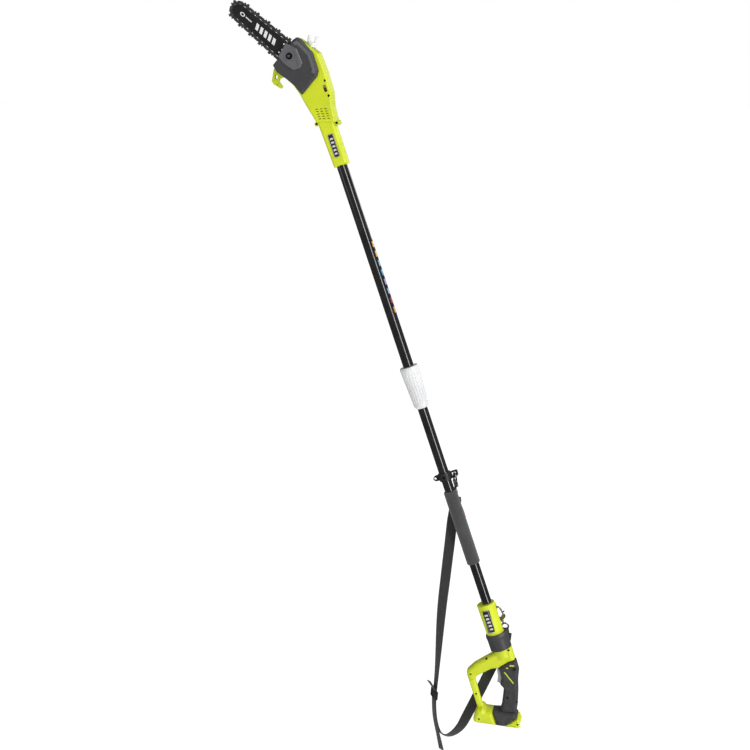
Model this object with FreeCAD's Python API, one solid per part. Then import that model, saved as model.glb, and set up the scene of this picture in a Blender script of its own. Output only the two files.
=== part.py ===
"""Telescoping cordless pole saw: one STEP file for each sub-part, in millimetres.

Nearly everything is drawn in the tool's own axes: z runs up the pole from the fore grip to the
saw head, x points to the tool's back, and the working side, with the bar nut, faces -y. The tool
stands leaning, as it does when its shoulder strap hangs, so each finished solid is turned about
the y axis by LEAN. Pieces that hang plumb are drawn in the leaning frame's level axes instead.
"""
import FreeCAD, Part
import math
import os
from FreeCAD import Vector

os.makedirs("parts", exist_ok=True)

# ------------------------------------------------------------------ driving dimensions
LEAN = 18.7                 # degrees the pole leans, towards the cutting side

# pole
OUTER_TUBE_R = 16.0
OUTER_TUBE_WALL = 0.8
OUTER_TUBE_LOW = 400.0
OUTER_TUBE_TOP = 1244.0
INNER_TUBE_R = 15.0
INNER_TUBE_WALL = 1.2
INNER_TUBE_LOW = -372.0
INNER_TUBE_TOP = 900.0
COLLAR_LOW = 388.0
COLLAR_TOP = 518.0
COLLAR_LOW_R = 22.5
COLLAR_TOP_R = 29.0
COLLAR_FLUTES = 18

# middle
FOAM_HALF = 118.0
FOAM_R = 20.5
BRACKET_LOW = 155.0
BRACKET_TOP = 178.0

# head, all at heights above the fore grip
NECK_LOW = 1137.0
HEAD_FRONT_Y = -26.0
HEAD_BACK_Y = 38.0
HEAD_WALL = 2.5
RECESS_Y = -13.0            # floor of the chain recess
COVER_FACE_Y = -36.0
PLATE_FACE_Y = -39.0

# bar and chain
NUT_X = -36.5
NUT_Z = 1474.0
BAR_ANGLE = 31.6            # bar to pole, degrees
BAR_Y = -20.0               # middle plane of the bar and chain
BAR_HALF_THICK = 2.1
GROOVE_HALF = 0.7
GROOVE_DEPTH = 6.0
BAR_BELLY_U = 20.0
BAR_BELLY_HALF = 24.5
BAR_NOSE_U = 195.0
BAR_NOSE_HALF = 18.7
BAR_TAIL_U = -28.0
CHAIN_PITCH = 9.525         # rivet to rivet: 3/8 in low profile
CHAIN_DRIVE_LINKS = 33
RIVET_HEIGHT = 5.5          # rivet line above the bar's rail
RIVET_R = 1.6
SPROCKET_R = 18.2           # rivet line's radius on the drive sprocket
SPROCKET_LOBES = 6
NOSE_POINTS = 8

# gear train
GEAR_MODULE = 1.25
GEAR_TEETH = 60
PINION_TEETH = 14
GEAR_FACE = (-4.0, 4.0)
SHAFT_R = 4.97
MOTOR_R = 21.0

# rear handle
NECK_CENTRE_X = -5.0
RING_CENTRE_X = -2.0
SPIGOT_R = 25.0
REAR_NECK_TOP = -252.0
REAR_NECK_LOW = -350.0
REAR_NECK_TOP_R = 27.5
REAR_NECK_LOW_R = 26.2
RING_LOW = -402.0
GUARD_HALF_Y = 19.0
GUARD_BAR_HALF_Y = 11.0
GRIP_HALF_Y = 18.0
BASE_HALF_Y = 34.0
REAR_WALL = 3.0
BASE_LEFT = (-146.0, -614.0)     # two points on the battery foot's flat underside
BASE_RIGHT = (-27.0, -662.0)
SOCKET_FOOT_X = -58.0
SOCKET_DEPTH = 52.0
SOCKET_HALF = 14.0
SOCKET_HALF_Y = 13.0
TRIGGER_TRAVEL = 6.0
SPRING_TURNS = 4
SPRING_STEPS = 12           # sections drawn in each turn
SPRING_R = 3.0
SPRING_LENGTH = 9.0
SPRING_WIRE_R = 0.45

# strap, in level axes
STRAP_WIDTH = 32.0
STRAP_THICK = 1.8

SCREW_HEAD_R = 3.2
SCREW_SHANK_R = 1.7


# ------------------------------------------------------------------ drawing helpers
def corner(point):
    """Corner of an outline as (x, z, radius); the radius may be left out."""
    return point[0], point[1], point[2] if len(point) > 2 else 0.0


def rounded_wire(corners, y):
    """Closed outline in the plane of the given y, each corner rounded by its own tangent arc."""
    points = [Vector(c[0], y, c[1]) for c in corners]
    count = len(points)
    spans = []
    for i in range(count):
        here = points[i]
        radius = corner(corners[i])[2]
        if radius <= 0:
            spans.append((here, None, here))
            continue
        back = (points[i - 1] - here).normalize()
        ahead = (points[(i + 1) % count] - here).normalize()
        half = back.getAngle(ahead) / 2
        trim = radius / math.tan(half)
        middle = (back + ahead).normalize() * (radius / math.sin(half) - radius)
        spans.append((here + back * trim, here + middle, here + ahead * trim))
    edges = []
    for i in range(count):
        start, middle, end = spans[i]
        if middle is not None:
            edges.append(Part.Arc(start, middle, end).toShape())
        following = spans[(i + 1) % count][0]
        edges.append(Part.makeLine(end, following))
    return Part.Wire(edges)


def inset(corners, depth):
    """The same outline moved inwards by depth, or outwards where depth is negative."""
    flat = [corner(c) for c in corners]
    count = len(flat)
    area = sum(flat[i - 1][0] * flat[i][1] - flat[i][0] * flat[i - 1][1] for i in range(count))
    turn = 1.0 if area > 0 else -1.0
    result = []
    for i in range(count):
        ax, az, _ = flat[i - 1]
        bx, bz, radius = flat[i]
        cx, cz, _ = flat[(i + 1) % count]
        first = math.hypot(bx - ax, bz - az)
        second = math.hypot(cx - bx, cz - bz)
        ux, uz = (bx - ax) / first, (bz - az) / first
        vx, vz = (cx - bx) / second, (cz - bz) / second
        nx, nz = -uz * turn, ux * turn
        mx, mz = -vz * turn, vx * turn
        share = depth / (1 + nx * mx + nz * mz)
        if radius > 0:
            convex = (ux * vz - uz * vx) * turn > 0
            radius = max(radius - depth if convex else radius + depth, 0.3)
        result.append((bx + (nx + mx) * share, bz + (nz + mz) * share, radius))
    return result


def slab(corners, y0, y1):
    """Flat plate of the outline, from y0 to y1."""
    face = Part.Face(rounded_wire(corners, y0))
    return face.extrude(Vector(0, y1 - y0, 0))


def pillow(corners, levels):
    """Plate with eased edges: the outline inset by each (y, depth) level in turn."""
    wires = [rounded_wire(inset(corners, depth), y) for y, depth in levels]
    return Part.makeLoft(wires, True, True)


def disc(x, z, radius, y0, y1):
    """Cylinder along y."""
    return Part.makeCylinder(radius, y1 - y0, Vector(x, y0, z), Vector(0, 1, 0))


def rod(start, end, radius):
    """Cylinder from one point to another."""
    return Part.makeCylinder(radius, (end - start).Length, start, end - start)


def upright(radius, low, high):
    """Cylinder on the pole's axis."""
    return Part.makeCylinder(radius, high - low, Vector(0, 0, low))


def turned(profile, x=0.0):
    """Solid of revolution about the pole's axis, or a line parallel to it, from (radius, z) points."""
    points = [Vector(x + r, 0, z) for r, z in profile]
    face = Part.Face(Part.makePolygon(points + points[:1]))
    return face.revolve(Vector(x, 0, 0), Vector(0, 0, 1), 360)


def half_space(side):
    """Large block on one side of the y = 0 parting plane."""
    low = -300.0 if side < 0 else 0.0
    return Part.makeBox(1200, 300, 3600, Vector(-600, low, -1200))


def joined(shapes):
    """One clean solid made of overlapping ones."""
    return shapes[0].multiFuse(shapes[1:]).removeSplitter()


def screw(x, z, head_y, length):
    """Pan-head screw driven along +y, its head's face at head_y, with a hexagonal socket."""
    head = disc(x, z, SCREW_HEAD_R, head_y, head_y + 2.2)
    shank = disc(x, z, SCREW_SHANK_R, head_y + 2.2, head_y + length)
    socket = slab(hexagon(x, z, 1.5), head_y, head_y + 1.4)
    return head.fuse(shank).cut(socket)


def hexagon(x, z, radius):
    return [(x + radius * math.cos(math.radians(60 * i)), z + radius * math.sin(math.radians(60 * i)))
            for i in range(6)]


def level(x, y, z):
    """Point of the tool's axes as a point of the level axes."""
    lean = math.radians(LEAN)
    return Vector(x * math.cos(lean) - z * math.sin(lean), y, x * math.sin(lean) + z * math.cos(lean))


def save(name, shape, leaning=True):
    """Turns the finished piece into the leaning pose and writes its STEP file."""
    placed = shape.copy()
    if leaning:
        placed.rotate(Vector(0, 0, 0), Vector(0, 1, 0), -LEAN)
    placed.exportStep("parts/" + name + ".step")


# ------------------------------------------------------------------ pole
def inner_tube():
    bore = INNER_TUBE_R - INNER_TUBE_WALL
    return upright(INNER_TUBE_R, INNER_TUBE_LOW, INNER_TUBE_TOP).cut(
        upright(bore, INNER_TUBE_LOW, INNER_TUBE_TOP))


def outer_tube():
    bore = OUTER_TUBE_R - OUTER_TUBE_WALL
    return upright(OUTER_TUBE_R, OUTER_TUBE_LOW, OUTER_TUBE_TOP).cut(
        upright(bore, OUTER_TUBE_LOW, OUTER_TUBE_TOP))


def pole_collet():
    """Slit jaw ring on the outer tube's end: its fingers close on the inner tube."""
    low = COLLAR_LOW + 4
    profile = [(15.05, low), (18.6, low), (20.0, OUTER_TUBE_LOW), (18.5, OUTER_TUBE_LOW + 3),
               (18.5, OUTER_TUBE_LOW + 38), (16.02, OUTER_TUBE_LOW + 38), (16.02, OUTER_TUBE_LOW - 0.1),
               (15.05, OUTER_TUBE_LOW - 0.1)]
    ring = turned(profile)
    for i in range(6):
        slit = Part.makeBox(30, 1.4, 18, Vector(0, -0.7, low - 1))
        slit.rotate(Vector(0, 0, 0), Vector(0, 0, 1), 60 * i + 30)
        ring = ring.cut(slit)
    return ring


def lock_collar():
    """Fluted twist collar, wide towards the head and narrow towards the lower tube."""
    low = COLLAR_LOW
    profile = [(15.6, low), (COLLAR_LOW_R - 5.5, low), (COLLAR_LOW_R, low + 7),
               (COLLAR_TOP_R, COLLAR_TOP - 6), (COLLAR_TOP_R - 1.5, COLLAR_TOP), (16.3, COLLAR_TOP),
               (16.3, OUTER_TUBE_LOW + 42), (18.9, OUTER_TUBE_LOW + 40), (18.9, OUTER_TUBE_LOW + 5),
               (20.6, OUTER_TUBE_LOW + 2), (20.6, OUTER_TUBE_LOW - 2), (19.2, low + 3.2),
               (15.6, low + 3.2)]
    collar = turned(profile)
    for i in range(COLLAR_FLUTES):
        angle = math.radians(360 * i / COLLAR_FLUTES)
        across, along = math.cos(angle), math.sin(angle)
        foot = Vector((COLLAR_LOW_R + 1.4) * across, (COLLAR_LOW_R + 1.4) * along, low + 16)
        head = Vector((COLLAR_TOP_R + 0.6) * across, (COLLAR_TOP_R + 0.6) * along, COLLAR_TOP - 16)
        collar = collar.cut(rod(foot, head, 2.2))
    return collar


def pole_label():
    """Printed sleeve patch round the back of the outer tube."""
    band = upright(OUTER_TUBE_R + 0.25, 678, 908).cut(upright(OUTER_TUBE_R, 670, 916))
    wedge = Part.makeBox(60, 60, 260, Vector(0, 0, 670))
    wedge.rotate(Vector(0, 0, 0), Vector(0, 0, 1), -30)
    return band.common(wedge)


# ------------------------------------------------------------------ saw head outlines
BODY = [(-27, 1276, 3), (-40, 1331, 10), (-46, 1362, 8), (-56, 1395, 30), (-72, 1421, 20),
        (-87, 1444, 8), (-91, 1464, 5), (-2, 1517, 6), (42, 1456, 12), (45, 1400, 40), (43, 1345, 12),
        (33, 1305, 12), (29, 1258, 3)]
NECK = [(-21.5, NECK_LOW, 1), (-27, 1290, 2), (28, 1290, 2), (23, 1240, 4), (23, NECK_LOW, 1)]
COVER = [(-92, 1466, 3), (-13.6, 1513, 4), (0, 1516.5, 3), (9, 1505, 4), (29, 1463, 8), (29, 1410, 5),
         (20, 1396, 4), (-39, 1361, 3), (-52, 1394, 40), (-70, 1421, 20), (-87, 1443, 4)]
CLAMP_PLATE = [(-67.5, 1483, 2), (-59.5, 1461.5, 2), (-38.5, 1434, 2), (-17, 1433, 2), (-6.5, 1444, 2),
               (-9.5, 1486, 2), (-34, 1511, 2)]
HEAD_SCREWS = [(36, 1378), (33, 1335), (29.5, 1256), (-27, 1271)]
OIL_CAP_BASE = Vector(25.0, 6.0, 1484.0)
OIL_CAP_R = 14.0
OIL_CAP_TILT = 31.2         # the filler's axis leans this much from the pole, towards the back


def bar_point(u, v):
    """(x, z) of a point u along the bar from the bar nut and v across it, towards the back."""
    angle = math.radians(BAR_ANGLE)
    along = (-math.sin(angle), math.cos(angle))
    across = (math.cos(angle), math.sin(angle))
    return NUT_X + u * along[0] + v * across[0], NUT_Z + u * along[1] + v * across[1]


def bar_outline(points):
    """Outline given in bar coordinates (u, v, radius)."""
    return [bar_point(c[0], c[1]) + (corner(c)[2],) for c in points]


# ------------------------------------------------------------------ chain path
def chain_segments(sprocket_u):
    """Straight and curved stretches of the rivet line, from the sprocket out along the back edge."""
    circles = [(sprocket_u, SPROCKET_R), (BAR_BELLY_U, BAR_BELLY_HALF + RIVET_HEIGHT),
               (BAR_NOSE_U, BAR_NOSE_HALF + RIVET_HEIGHT)]
    normals = []
    for (u0, r0), (u1, r1) in zip(circles, circles[1:]):
        normals.append(math.acos((r0 - r1) / (u1 - u0)))
    stretches = []

    def add_line(first, second, angle, sign):
        ends = []
        for u, r in (first, second):
            ends.append((u + r * math.cos(angle), sign * r * math.sin(angle)))
        stretches.append(("line", ends[0], ends[1]))

    add_line(circles[0], circles[1], normals[0], 1)
    stretches.append(("arc", circles[1], normals[0], normals[1]))
    add_line(circles[1], circles[2], normals[1], 1)
    stretches.append(("arc", circles[2], normals[1], -normals[1]))
    add_line(circles[2], circles[1], normals[1], -1)
    stretches.append(("arc", circles[1], -normals[1], -normals[0]))
    add_line(circles[1], circles[0], normals[0], -1)
    stretches.append(("arc", circles[0], 2 * math.pi - normals[0], normals[0]))
    return stretches


def stretch_length(stretch):
    if stretch[0] == "line":
        return math.dist(stretch[1], stretch[2])
    return stretch[1][1] * abs(stretch[3] - stretch[2])


def chain_point(stretches, distance):
    """(u, v) at a distance along the rivet line."""
    for stretch in stretches:
        length = stretch_length(stretch)
        if distance <= length:
            share = distance / length
            if stretch[0] == "line":
                (u0, v0), (u1, v1) = stretch[1], stretch[2]
                return u0 + (u1 - u0) * share, v0 + (v1 - v0) * share
            (u, r), start, end = stretch[1], stretch[2], stretch[3]
            angle = start + (end - start) * share
            return u + r * math.cos(angle), r * math.sin(angle)
        distance -= length
    return chain_point(stretches, distance)


def tensioned_sprocket_u():
    """Where the sprocket must lie for the chain's whole number of links to fit tight."""
    wanted = 2 * CHAIN_DRIVE_LINKS * CHAIN_PITCH
    near, far = -20.0, -90.0
    for _ in range(60):
        middle = (near + far) / 2
        if sum(stretch_length(s) for s in chain_segments(middle)) < wanted:
            near = middle
        else:
            far = middle
    return (near + far) / 2


SPROCKET_U = tensioned_sprocket_u()
SPROCKET_X, SPROCKET_Z = bar_point(SPROCKET_U, 0)
CHAIN = chain_segments(SPROCKET_U)
RIVETS = [chain_point(CHAIN, k * CHAIN_PITCH) for k in range(2 * CHAIN_DRIVE_LINKS)]

GEAR_CENTRES = GEAR_MODULE * (GEAR_TEETH + PINION_TEETH) / 2
MOTOR_DIRECTION = math.radians(-80.5)
MOTOR_X = SPROCKET_X + GEAR_CENTRES * math.cos(MOTOR_DIRECTION)
MOTOR_Z = SPROCKET_Z + GEAR_CENTRES * math.sin(MOTOR_DIRECTION)


def link(index, outline, y0, y1, holes=True):
    """Flat link lying on rivets index and index + 1; outline is (along, outwards) from their middle."""
    u0, v0 = RIVETS[index]
    u1, v1 = RIVETS[(index + 1) % len(RIVETS)]
    span = math.hypot(u1 - u0, v1 - v0)
    du, dv = (u1 - u0) / span, (v1 - v0) / span
    mid_u, mid_v = (u0 + u1) / 2, (v0 + v1) / 2
    points = []
    for along, outward in outline:
        u = mid_u + along * du - outward * dv
        v = mid_v + along * dv + outward * du
        points.append(bar_point(u, v))
    plate = slab(points, BAR_Y + y0, BAR_Y + y1)
    if holes:
        for u, v in (RIVETS[index], RIVETS[(index + 1) % len(RIVETS)]):
            x, z = bar_point(u, v)
            plate = plate.cut(disc(x, z, RIVET_R + 0.15, BAR_Y - 5, BAR_Y + 5))
    return plate


# ------------------------------------------------------------------ chain, bar and sprockets
DRIVE_LINK = [(-7.4, 1.8), (-6.6, 2.6), (6.6, 2.6), (7.4, 1.8), (7.4, -1.4), (4.6, -3.6), (4.2, -6.0),
              (1.4, -10.0), (-1.6, -9.6), (-4.2, -6.0), (-4.6, -3.6), (-7.4, -1.4)]
TIE_STRAP = [(-8.4, 0.0), (-7.6, 3.0), (-5.8, 3.8), (5.8, 3.8), (7.6, 3.0), (8.4, 0.0), (8.2, -1.6),
             (6.6, -4.6), (2.4, -4.6), (0.0, -3.4), (-2.4, -4.6), (-6.6, -4.6), (-8.2, -1.6)]
CUTTER_SIDE = [(-8.4, 0.0), (-8.2, 7.4), (-1.2, 8.2), (0.2, 4.2), (3.0, 3.4), (4.4, 6.2), (6.2, 6.8),
               (8.0, 4.6), (8.4, 0.0), (8.2, -1.6), (6.6, -4.6), (2.4, -4.6), (0.0, -3.4), (-2.4, -4.6),
               (-6.6, -4.6), (-8.2, -1.6)]
CUTTER_TOP = [(-8.2, 6.4), (-8.2, 7.4), (-1.2, 8.2), (-1.6, 7.2)]
LINK_GAP = 0.75
LINK_OUTER = 1.95


def chain_drive_links():
    return Part.makeCompound([link(2 * k, DRIVE_LINK, -0.65, 0.65) for k in range(CHAIN_DRIVE_LINKS)])


def cutter_side(k):
    """Every second pair of side links carries a cutter, on the left and right in turn."""
    if k % 2 or k == CHAIN_DRIVE_LINKS - 1:
        return 0
    return -1 if k % 4 else 1


def chain_tie_straps():
    plates = []
    for k in range(CHAIN_DRIVE_LINKS):
        for side in (-1, 1):
            if side == cutter_side(k):
                continue
            ys = sorted((side * LINK_GAP, side * LINK_OUTER))
            plates.append(link(2 * k + 1, TIE_STRAP, ys[0], ys[1]))
    return Part.makeCompound(plates)


def chain_cutters():
    cutters = []
    for k in range(CHAIN_DRIVE_LINKS):
        side = cutter_side(k)
        if side == 0:
            continue
        ys = sorted((side * LINK_GAP, side * LINK_OUTER))
        plate = link(2 * k + 1, CUTTER_SIDE, ys[0], ys[1])
        tops = sorted((side * (LINK_OUTER + 1.2), -side * 0.6))
        blade = link(2 * k + 1, CUTTER_TOP, tops[0], tops[1], holes=False)
        cutters.append(joined([plate, blade]))
    return Part.makeCompound(cutters)


def chain_rivets():
    pins = []
    for u, v in RIVETS:
        x, z = bar_point(u, v)
        pin = disc(x, z, RIVET_R, BAR_Y - LINK_OUTER, BAR_Y + LINK_OUTER)
        near = disc(x, z, 2.2, BAR_Y - LINK_OUTER - 0.35, BAR_Y - LINK_OUTER)
        far = disc(x, z, 2.2, BAR_Y + LINK_OUTER, BAR_Y + LINK_OUTER + 0.35)
        pins.append(joined([pin, near, far]))
    return Part.makeCompound(pins)


def guide_bar():
    """Laminated bar: two side plates and a narrower core that leaves the chain's groove."""
    tip_u = BAR_NOSE_U + BAR_NOSE_HALF
    nose = BAR_NOSE_HALF - 0.5
    shape = [(BAR_TAIL_U, -14.5, 6), (BAR_BELLY_U, -BAR_BELLY_HALF, 70), (tip_u, -nose, nose - 0.7),
             (tip_u, nose, nose - 0.7), (BAR_BELLY_U, BAR_BELLY_HALF, 70), (BAR_TAIL_U, 14.5, 6)]
    outline = bar_outline(shape)
    low, high = BAR_Y - BAR_HALF_THICK, BAR_Y + BAR_HALF_THICK
    near = slab(outline, low, BAR_Y - GROOVE_HALF)
    far = slab(outline, BAR_Y + GROOVE_HALF, high)
    core = slab(inset(outline, GROOVE_DEPTH), BAR_Y - GROOVE_HALF, BAR_Y + GROOVE_HALF)
    nose_x, nose_z = bar_point(BAR_NOSE_U, 0)
    core = core.cut(disc(nose_x, nose_z, 12.9, low, high))
    nose_pin = disc(nose_x, nose_z, 3.95, BAR_Y - GROOVE_HALF, BAR_Y + GROOVE_HALF)
    bar = joined([near, core, far, nose_pin])
    slot = bar_outline([(-19, -4.2, 4.1), (13, -4.2, 4.1), (13, 4.2, 4.1), (-19, 4.2, 4.1)])
    bar = bar.cut(slab(slot, low - 1, high + 1))
    for u, v, radius in ((2, -12, 2.6), (30, -2.5, 2.4), (36, 13, 2.2), (33, -14, 2.0)):
        x, z = bar_point(u, v)
        bar = bar.cut(disc(x, z, radius, low - 1, high + 1))
    return bar


def star(x, z, points, outer, gullet, y0, y1):
    """Toothed disc with flat-topped lobes."""
    outline = []
    for i in range(points):
        for offset, radius in ((-0.36, gullet), (-0.22, outer), (0.22, outer), (0.36, gullet)):
            angle = 2 * math.pi * (i + offset) / points
            outline.append((x + radius * math.cos(angle), z + radius * math.sin(angle)))
    return slab(outline, y0, y1)


def nose_sprocket():
    x, z = bar_point(BAR_NOSE_U, 0)
    wheel = star(x, z, NOSE_POINTS, 12.2, 10.2, BAR_Y - 0.6, BAR_Y + 0.6)
    return wheel.cut(disc(x, z, 4.0, BAR_Y - 2, BAR_Y + 2))


def drive_sprocket():
    """Rim sprocket: two lobed cheeks beside the drive links and a hub between them."""
    x, z = SPROCKET_X, SPROCKET_Z
    near = star(x, z, SPROCKET_LOBES, 12.4, 10.0, BAR_Y - 4.0, BAR_Y - 1.1)
    far = star(x, z, SPROCKET_LOBES, 12.4, 10.0, BAR_Y + 1.1, BAR_Y + 4.0)
    hub = disc(x, z, 7.4, BAR_Y - 4.0, BAR_Y + 4.0)
    return joined([near, far, hub]).cut(disc(x, z, 5.0, BAR_Y - 6, BAR_Y + 6))


# ------------------------------------------------------------------ gear train
def involute_gear(x, z, teeth, phase, addendum, y0, y1, bore):
    """Spur gear with involute flanks; phase is the direction of the middle of one tooth."""
    pitch_r = GEAR_MODULE * teeth / 2
    base_r = pitch_r * math.cos(math.radians(20))
    root_r = pitch_r - 1.25 * GEAR_MODULE
    tip_r = pitch_r + addendum * GEAR_MODULE
    backlash = 0.14
    at_pitch = math.tan(math.radians(20)) - math.radians(20)
    half_pitch = math.pi / (2 * teeth) - backlash / (2 * pitch_r)
    flank = [(root_r, half_pitch + at_pitch)]
    for share in (0.0, 0.35, 0.7, 1.0):
        radius = max(base_r, root_r) + (tip_r - max(base_r, root_r)) * share
        roll = math.sqrt(max((radius / base_r) ** 2 - 1, 0.0))
        flank.append((radius, half_pitch + at_pitch - (roll - math.atan(roll))))
    outline = []
    for i in range(teeth):
        centre = phase + 2 * math.pi * i / teeth
        for radius, half in flank:
            outline.append((x + radius * math.cos(centre - half), z + radius * math.sin(centre - half)))
        for radius, half in reversed(flank):
            outline.append((x + radius * math.cos(centre + half), z + radius * math.sin(centre + half)))
    return slab(outline, y0, y1).cut(disc(x, z, bore, y0 - 1, y1 + 1))


def drive_gear():
    gear = involute_gear(SPROCKET_X, SPROCKET_Z, GEAR_TEETH, MOTOR_DIRECTION, 0.8, *GEAR_FACE, 5.0)
    for i in range(5):
        angle = 2 * math.pi * i / 5
        x = SPROCKET_X + 22 * math.cos(angle)
        z = SPROCKET_Z + 22 * math.sin(angle)
        gear = gear.cut(disc(x, z, 7, -10, 10))
    return gear


def motor_pinion():
    phase = MOTOR_DIRECTION + math.pi + math.pi / PINION_TEETH
    return involute_gear(MOTOR_X, MOTOR_Z, PINION_TEETH, phase, 0.9, *GEAR_FACE, 2.5)


def sprocket_shaft():
    shaft = disc(SPROCKET_X, SPROCKET_Z, SHAFT_R, -26.5, 28.9)
    return shaft.cut(disc(SPROCKET_X, SPROCKET_Z, 1.5, -27, -22))


def shaft_bearings():
    rings = []
    for y0, y1 in ((-12.0, -6.0), (23.0, 29.0)):
        outside = disc(SPROCKET_X, SPROCKET_Z, 11.0, y0, y1)
        rings.append(outside.cut(disc(SPROCKET_X, SPROCKET_Z, 5.0, y0 - 1, y1 + 1)))
    return Part.makeCompound(rings)


def motor_can():
    can = disc(MOTOR_X, MOTOR_Z, MOTOR_R, 8.5, 34.0)
    boss = disc(MOTOR_X, MOTOR_Z, 7.0, 6.0, 8.5)
    can = joined([can, boss])
    for i in range(4):
        angle = math.pi / 4 + math.pi * i / 2
        slot = disc(MOTOR_X + 14 * math.cos(angle), MOTOR_Z + 14 * math.sin(angle), 3, 8.0, 12.0)
        can = can.cut(slot)
    return can.cut(disc(MOTOR_X, MOTOR_Z, 2.56, 5, 30))


def motor_shaft():
    return disc(MOTOR_X, MOTOR_Z, 2.5, -5.5, 29.0)


# ------------------------------------------------------------------ head casing
def head_solid(shrink):
    """The head's outer form, or with shrink the form of its hollow."""
    low = HEAD_FRONT_Y + shrink
    high = HEAD_BACK_Y - shrink
    body = pillow(BODY, [(low, 5 + shrink * 0.6), (low + 2, 2 + shrink * 0.8), (low + 6, shrink),
                         (24, shrink),
                         (high - 5, 3 + shrink * 0.8), (high, 9 + shrink * 0.6)])
    if shrink:
        return body
    neck = pillow(NECK, [(-22.5, 8), (-19, 3.5), (-13, 0.8), (-8, 0), (8, 0), (13, 0.8), (19, 3.5),
                         (22.5, 8)])
    ears = [disc(x, z, 7, -21, 16) for x, z in HEAD_SCREWS[2:]]
    return joined([body, neck] + ears)


def oil_cap_axis():
    tilt = math.radians(OIL_CAP_TILT)
    return Vector(math.sin(tilt), 0, math.cos(tilt))


def head_shell():
    hollow = head_solid(HEAD_WALL)
    recess = slab(inset(COVER, -0.4), -60, RECESS_Y)
    recess_wall = slab(inset(COVER, -HEAD_WALL - 0.4), -60, RECESS_Y + HEAD_WALL)
    shell = head_solid(0).cut(hollow.cut(recess_wall)).cut(recess)
    # bearing, motor and screw bosses grow out of the walls
    inside = head_solid(1.0)
    bosses = [disc(SPROCKET_X, SPROCKET_Z, 14, RECESS_Y, -6), disc(SPROCKET_X, SPROCKET_Z, 14, 23, 36),
              disc(MOTOR_X, MOTOR_Z, MOTOR_R + 3.5, 10, 36)]
    for x, z in HEAD_SCREWS[:2]:
        bosses.append(disc(x, z, 6.5, -25, 15))
    shell = joined([shell] + [boss.common(inside) for boss in bosses])
    stud_x, stud_z = bar_point(0, 0)
    locator_x, locator_z = bar_point(-14, 0)
    pads = [disc(stud_x, stud_z, 9, -17.85, RECESS_Y + 1),
            disc(locator_x, locator_z, 4.0, -23, RECESS_Y + 1)]
    pads.append(disc(stud_x, stud_z, 9, RECESS_Y, -4))
    shell = joined([shell] + pads)
    # bores
    cuts = [upright(OUTER_TUBE_R + 0.03, NECK_LOW - 1, OUTER_TUBE_TOP),
            upright(12, OUTER_TUBE_TOP - 1, 1300)]
    cuts.append(disc(SPROCKET_X, SPROCKET_Z, 11.02, -12, 0))
    cuts.append(disc(SPROCKET_X, SPROCKET_Z, 11.02, 10, 29))
    cuts.append(disc(SPROCKET_X, SPROCKET_Z, 6.5, -20, 10))
    cuts.append(disc(MOTOR_X, MOTOR_Z, MOTOR_R + 0.05, 5, 34.05))
    cuts.append(disc(stud_x, stud_z, 4.0, -30, -7))
    cuts.append(rod(OIL_CAP_BASE - oil_cap_axis() * 24, OIL_CAP_BASE + oil_cap_axis() * 12, 12.1))
    cuts.append(rod(OIL_CAP_BASE + oil_cap_axis() * 2.6, OIL_CAP_BASE + oil_cap_axis() * 20,
                    OIL_CAP_R + 0.4))
    for x, z in HEAD_SCREWS:
        cuts.append(disc(x, z, SCREW_HEAD_R + 0.5, -40, -19))
        cuts.append(disc(x, z, SCREW_SHANK_R + 0.05, -20, 13))
    window = inset(OIL_WINDOW, -0.1)
    cuts.append(slab(window, -40, HEAD_FRONT_Y + 6))
    for row in range(5):
        for column in range(3):
            x = -12.5 + 12.5 * column
            z = 1312 - 7.2 * row - 3.2 * column
            cuts.append(slab([(x - 4, z + 0.6, 0.8), (x + 4, z - 1.6, 0.8), (x + 4, z - 3.8, 0.8),
                              (x - 4, z - 1.6, 0.8)],
                             -60, -20))
    for cut in cuts:
        shell = shell.cut(cut)
    return shell


OIL_WINDOW = [(25.5, 1347, 4.2), (34.5, 1347, 4.2), (34.5, 1368, 4.2), (25.5, 1368, 4.2)]


def oil_window():
    return slab(OIL_WINDOW, HEAD_FRONT_Y - 0.2, HEAD_FRONT_Y + 5)


def oil_tank():
    upper = slab([(30.5, 1396, 2), (40.5, 1398, 2), (38.5, 1452, 6), (14, 1487, 4), (3, 1482, 3),
                  (28.5, 1450, 8)], -8, 25)
    lower = slab([(25, 1345, 3), (39.5, 1349, 3), (40.5, 1402, 2), (30.5, 1402, 2), (25, 1385, 3)], 17, 25)
    tank = joined([upper, lower])
    tank = tank.cut(disc(36, 1378, 6.8, -10, 16))
    return tank.cut(rod(OIL_CAP_BASE - oil_cap_axis() * 24, OIL_CAP_BASE + oil_cap_axis() * 12, 12.2))


def oil_cap_retainer():
    """Ring in the filler's neck that travels with the cap as it unscrews."""
    axis = oil_cap_axis()
    outside = rod(OIL_CAP_BASE - axis * 14, OIL_CAP_BASE - axis * 8, 11.8)
    return outside.cut(rod(OIL_CAP_BASE - axis * 15, OIL_CAP_BASE - axis * 7, 7.05))


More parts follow.
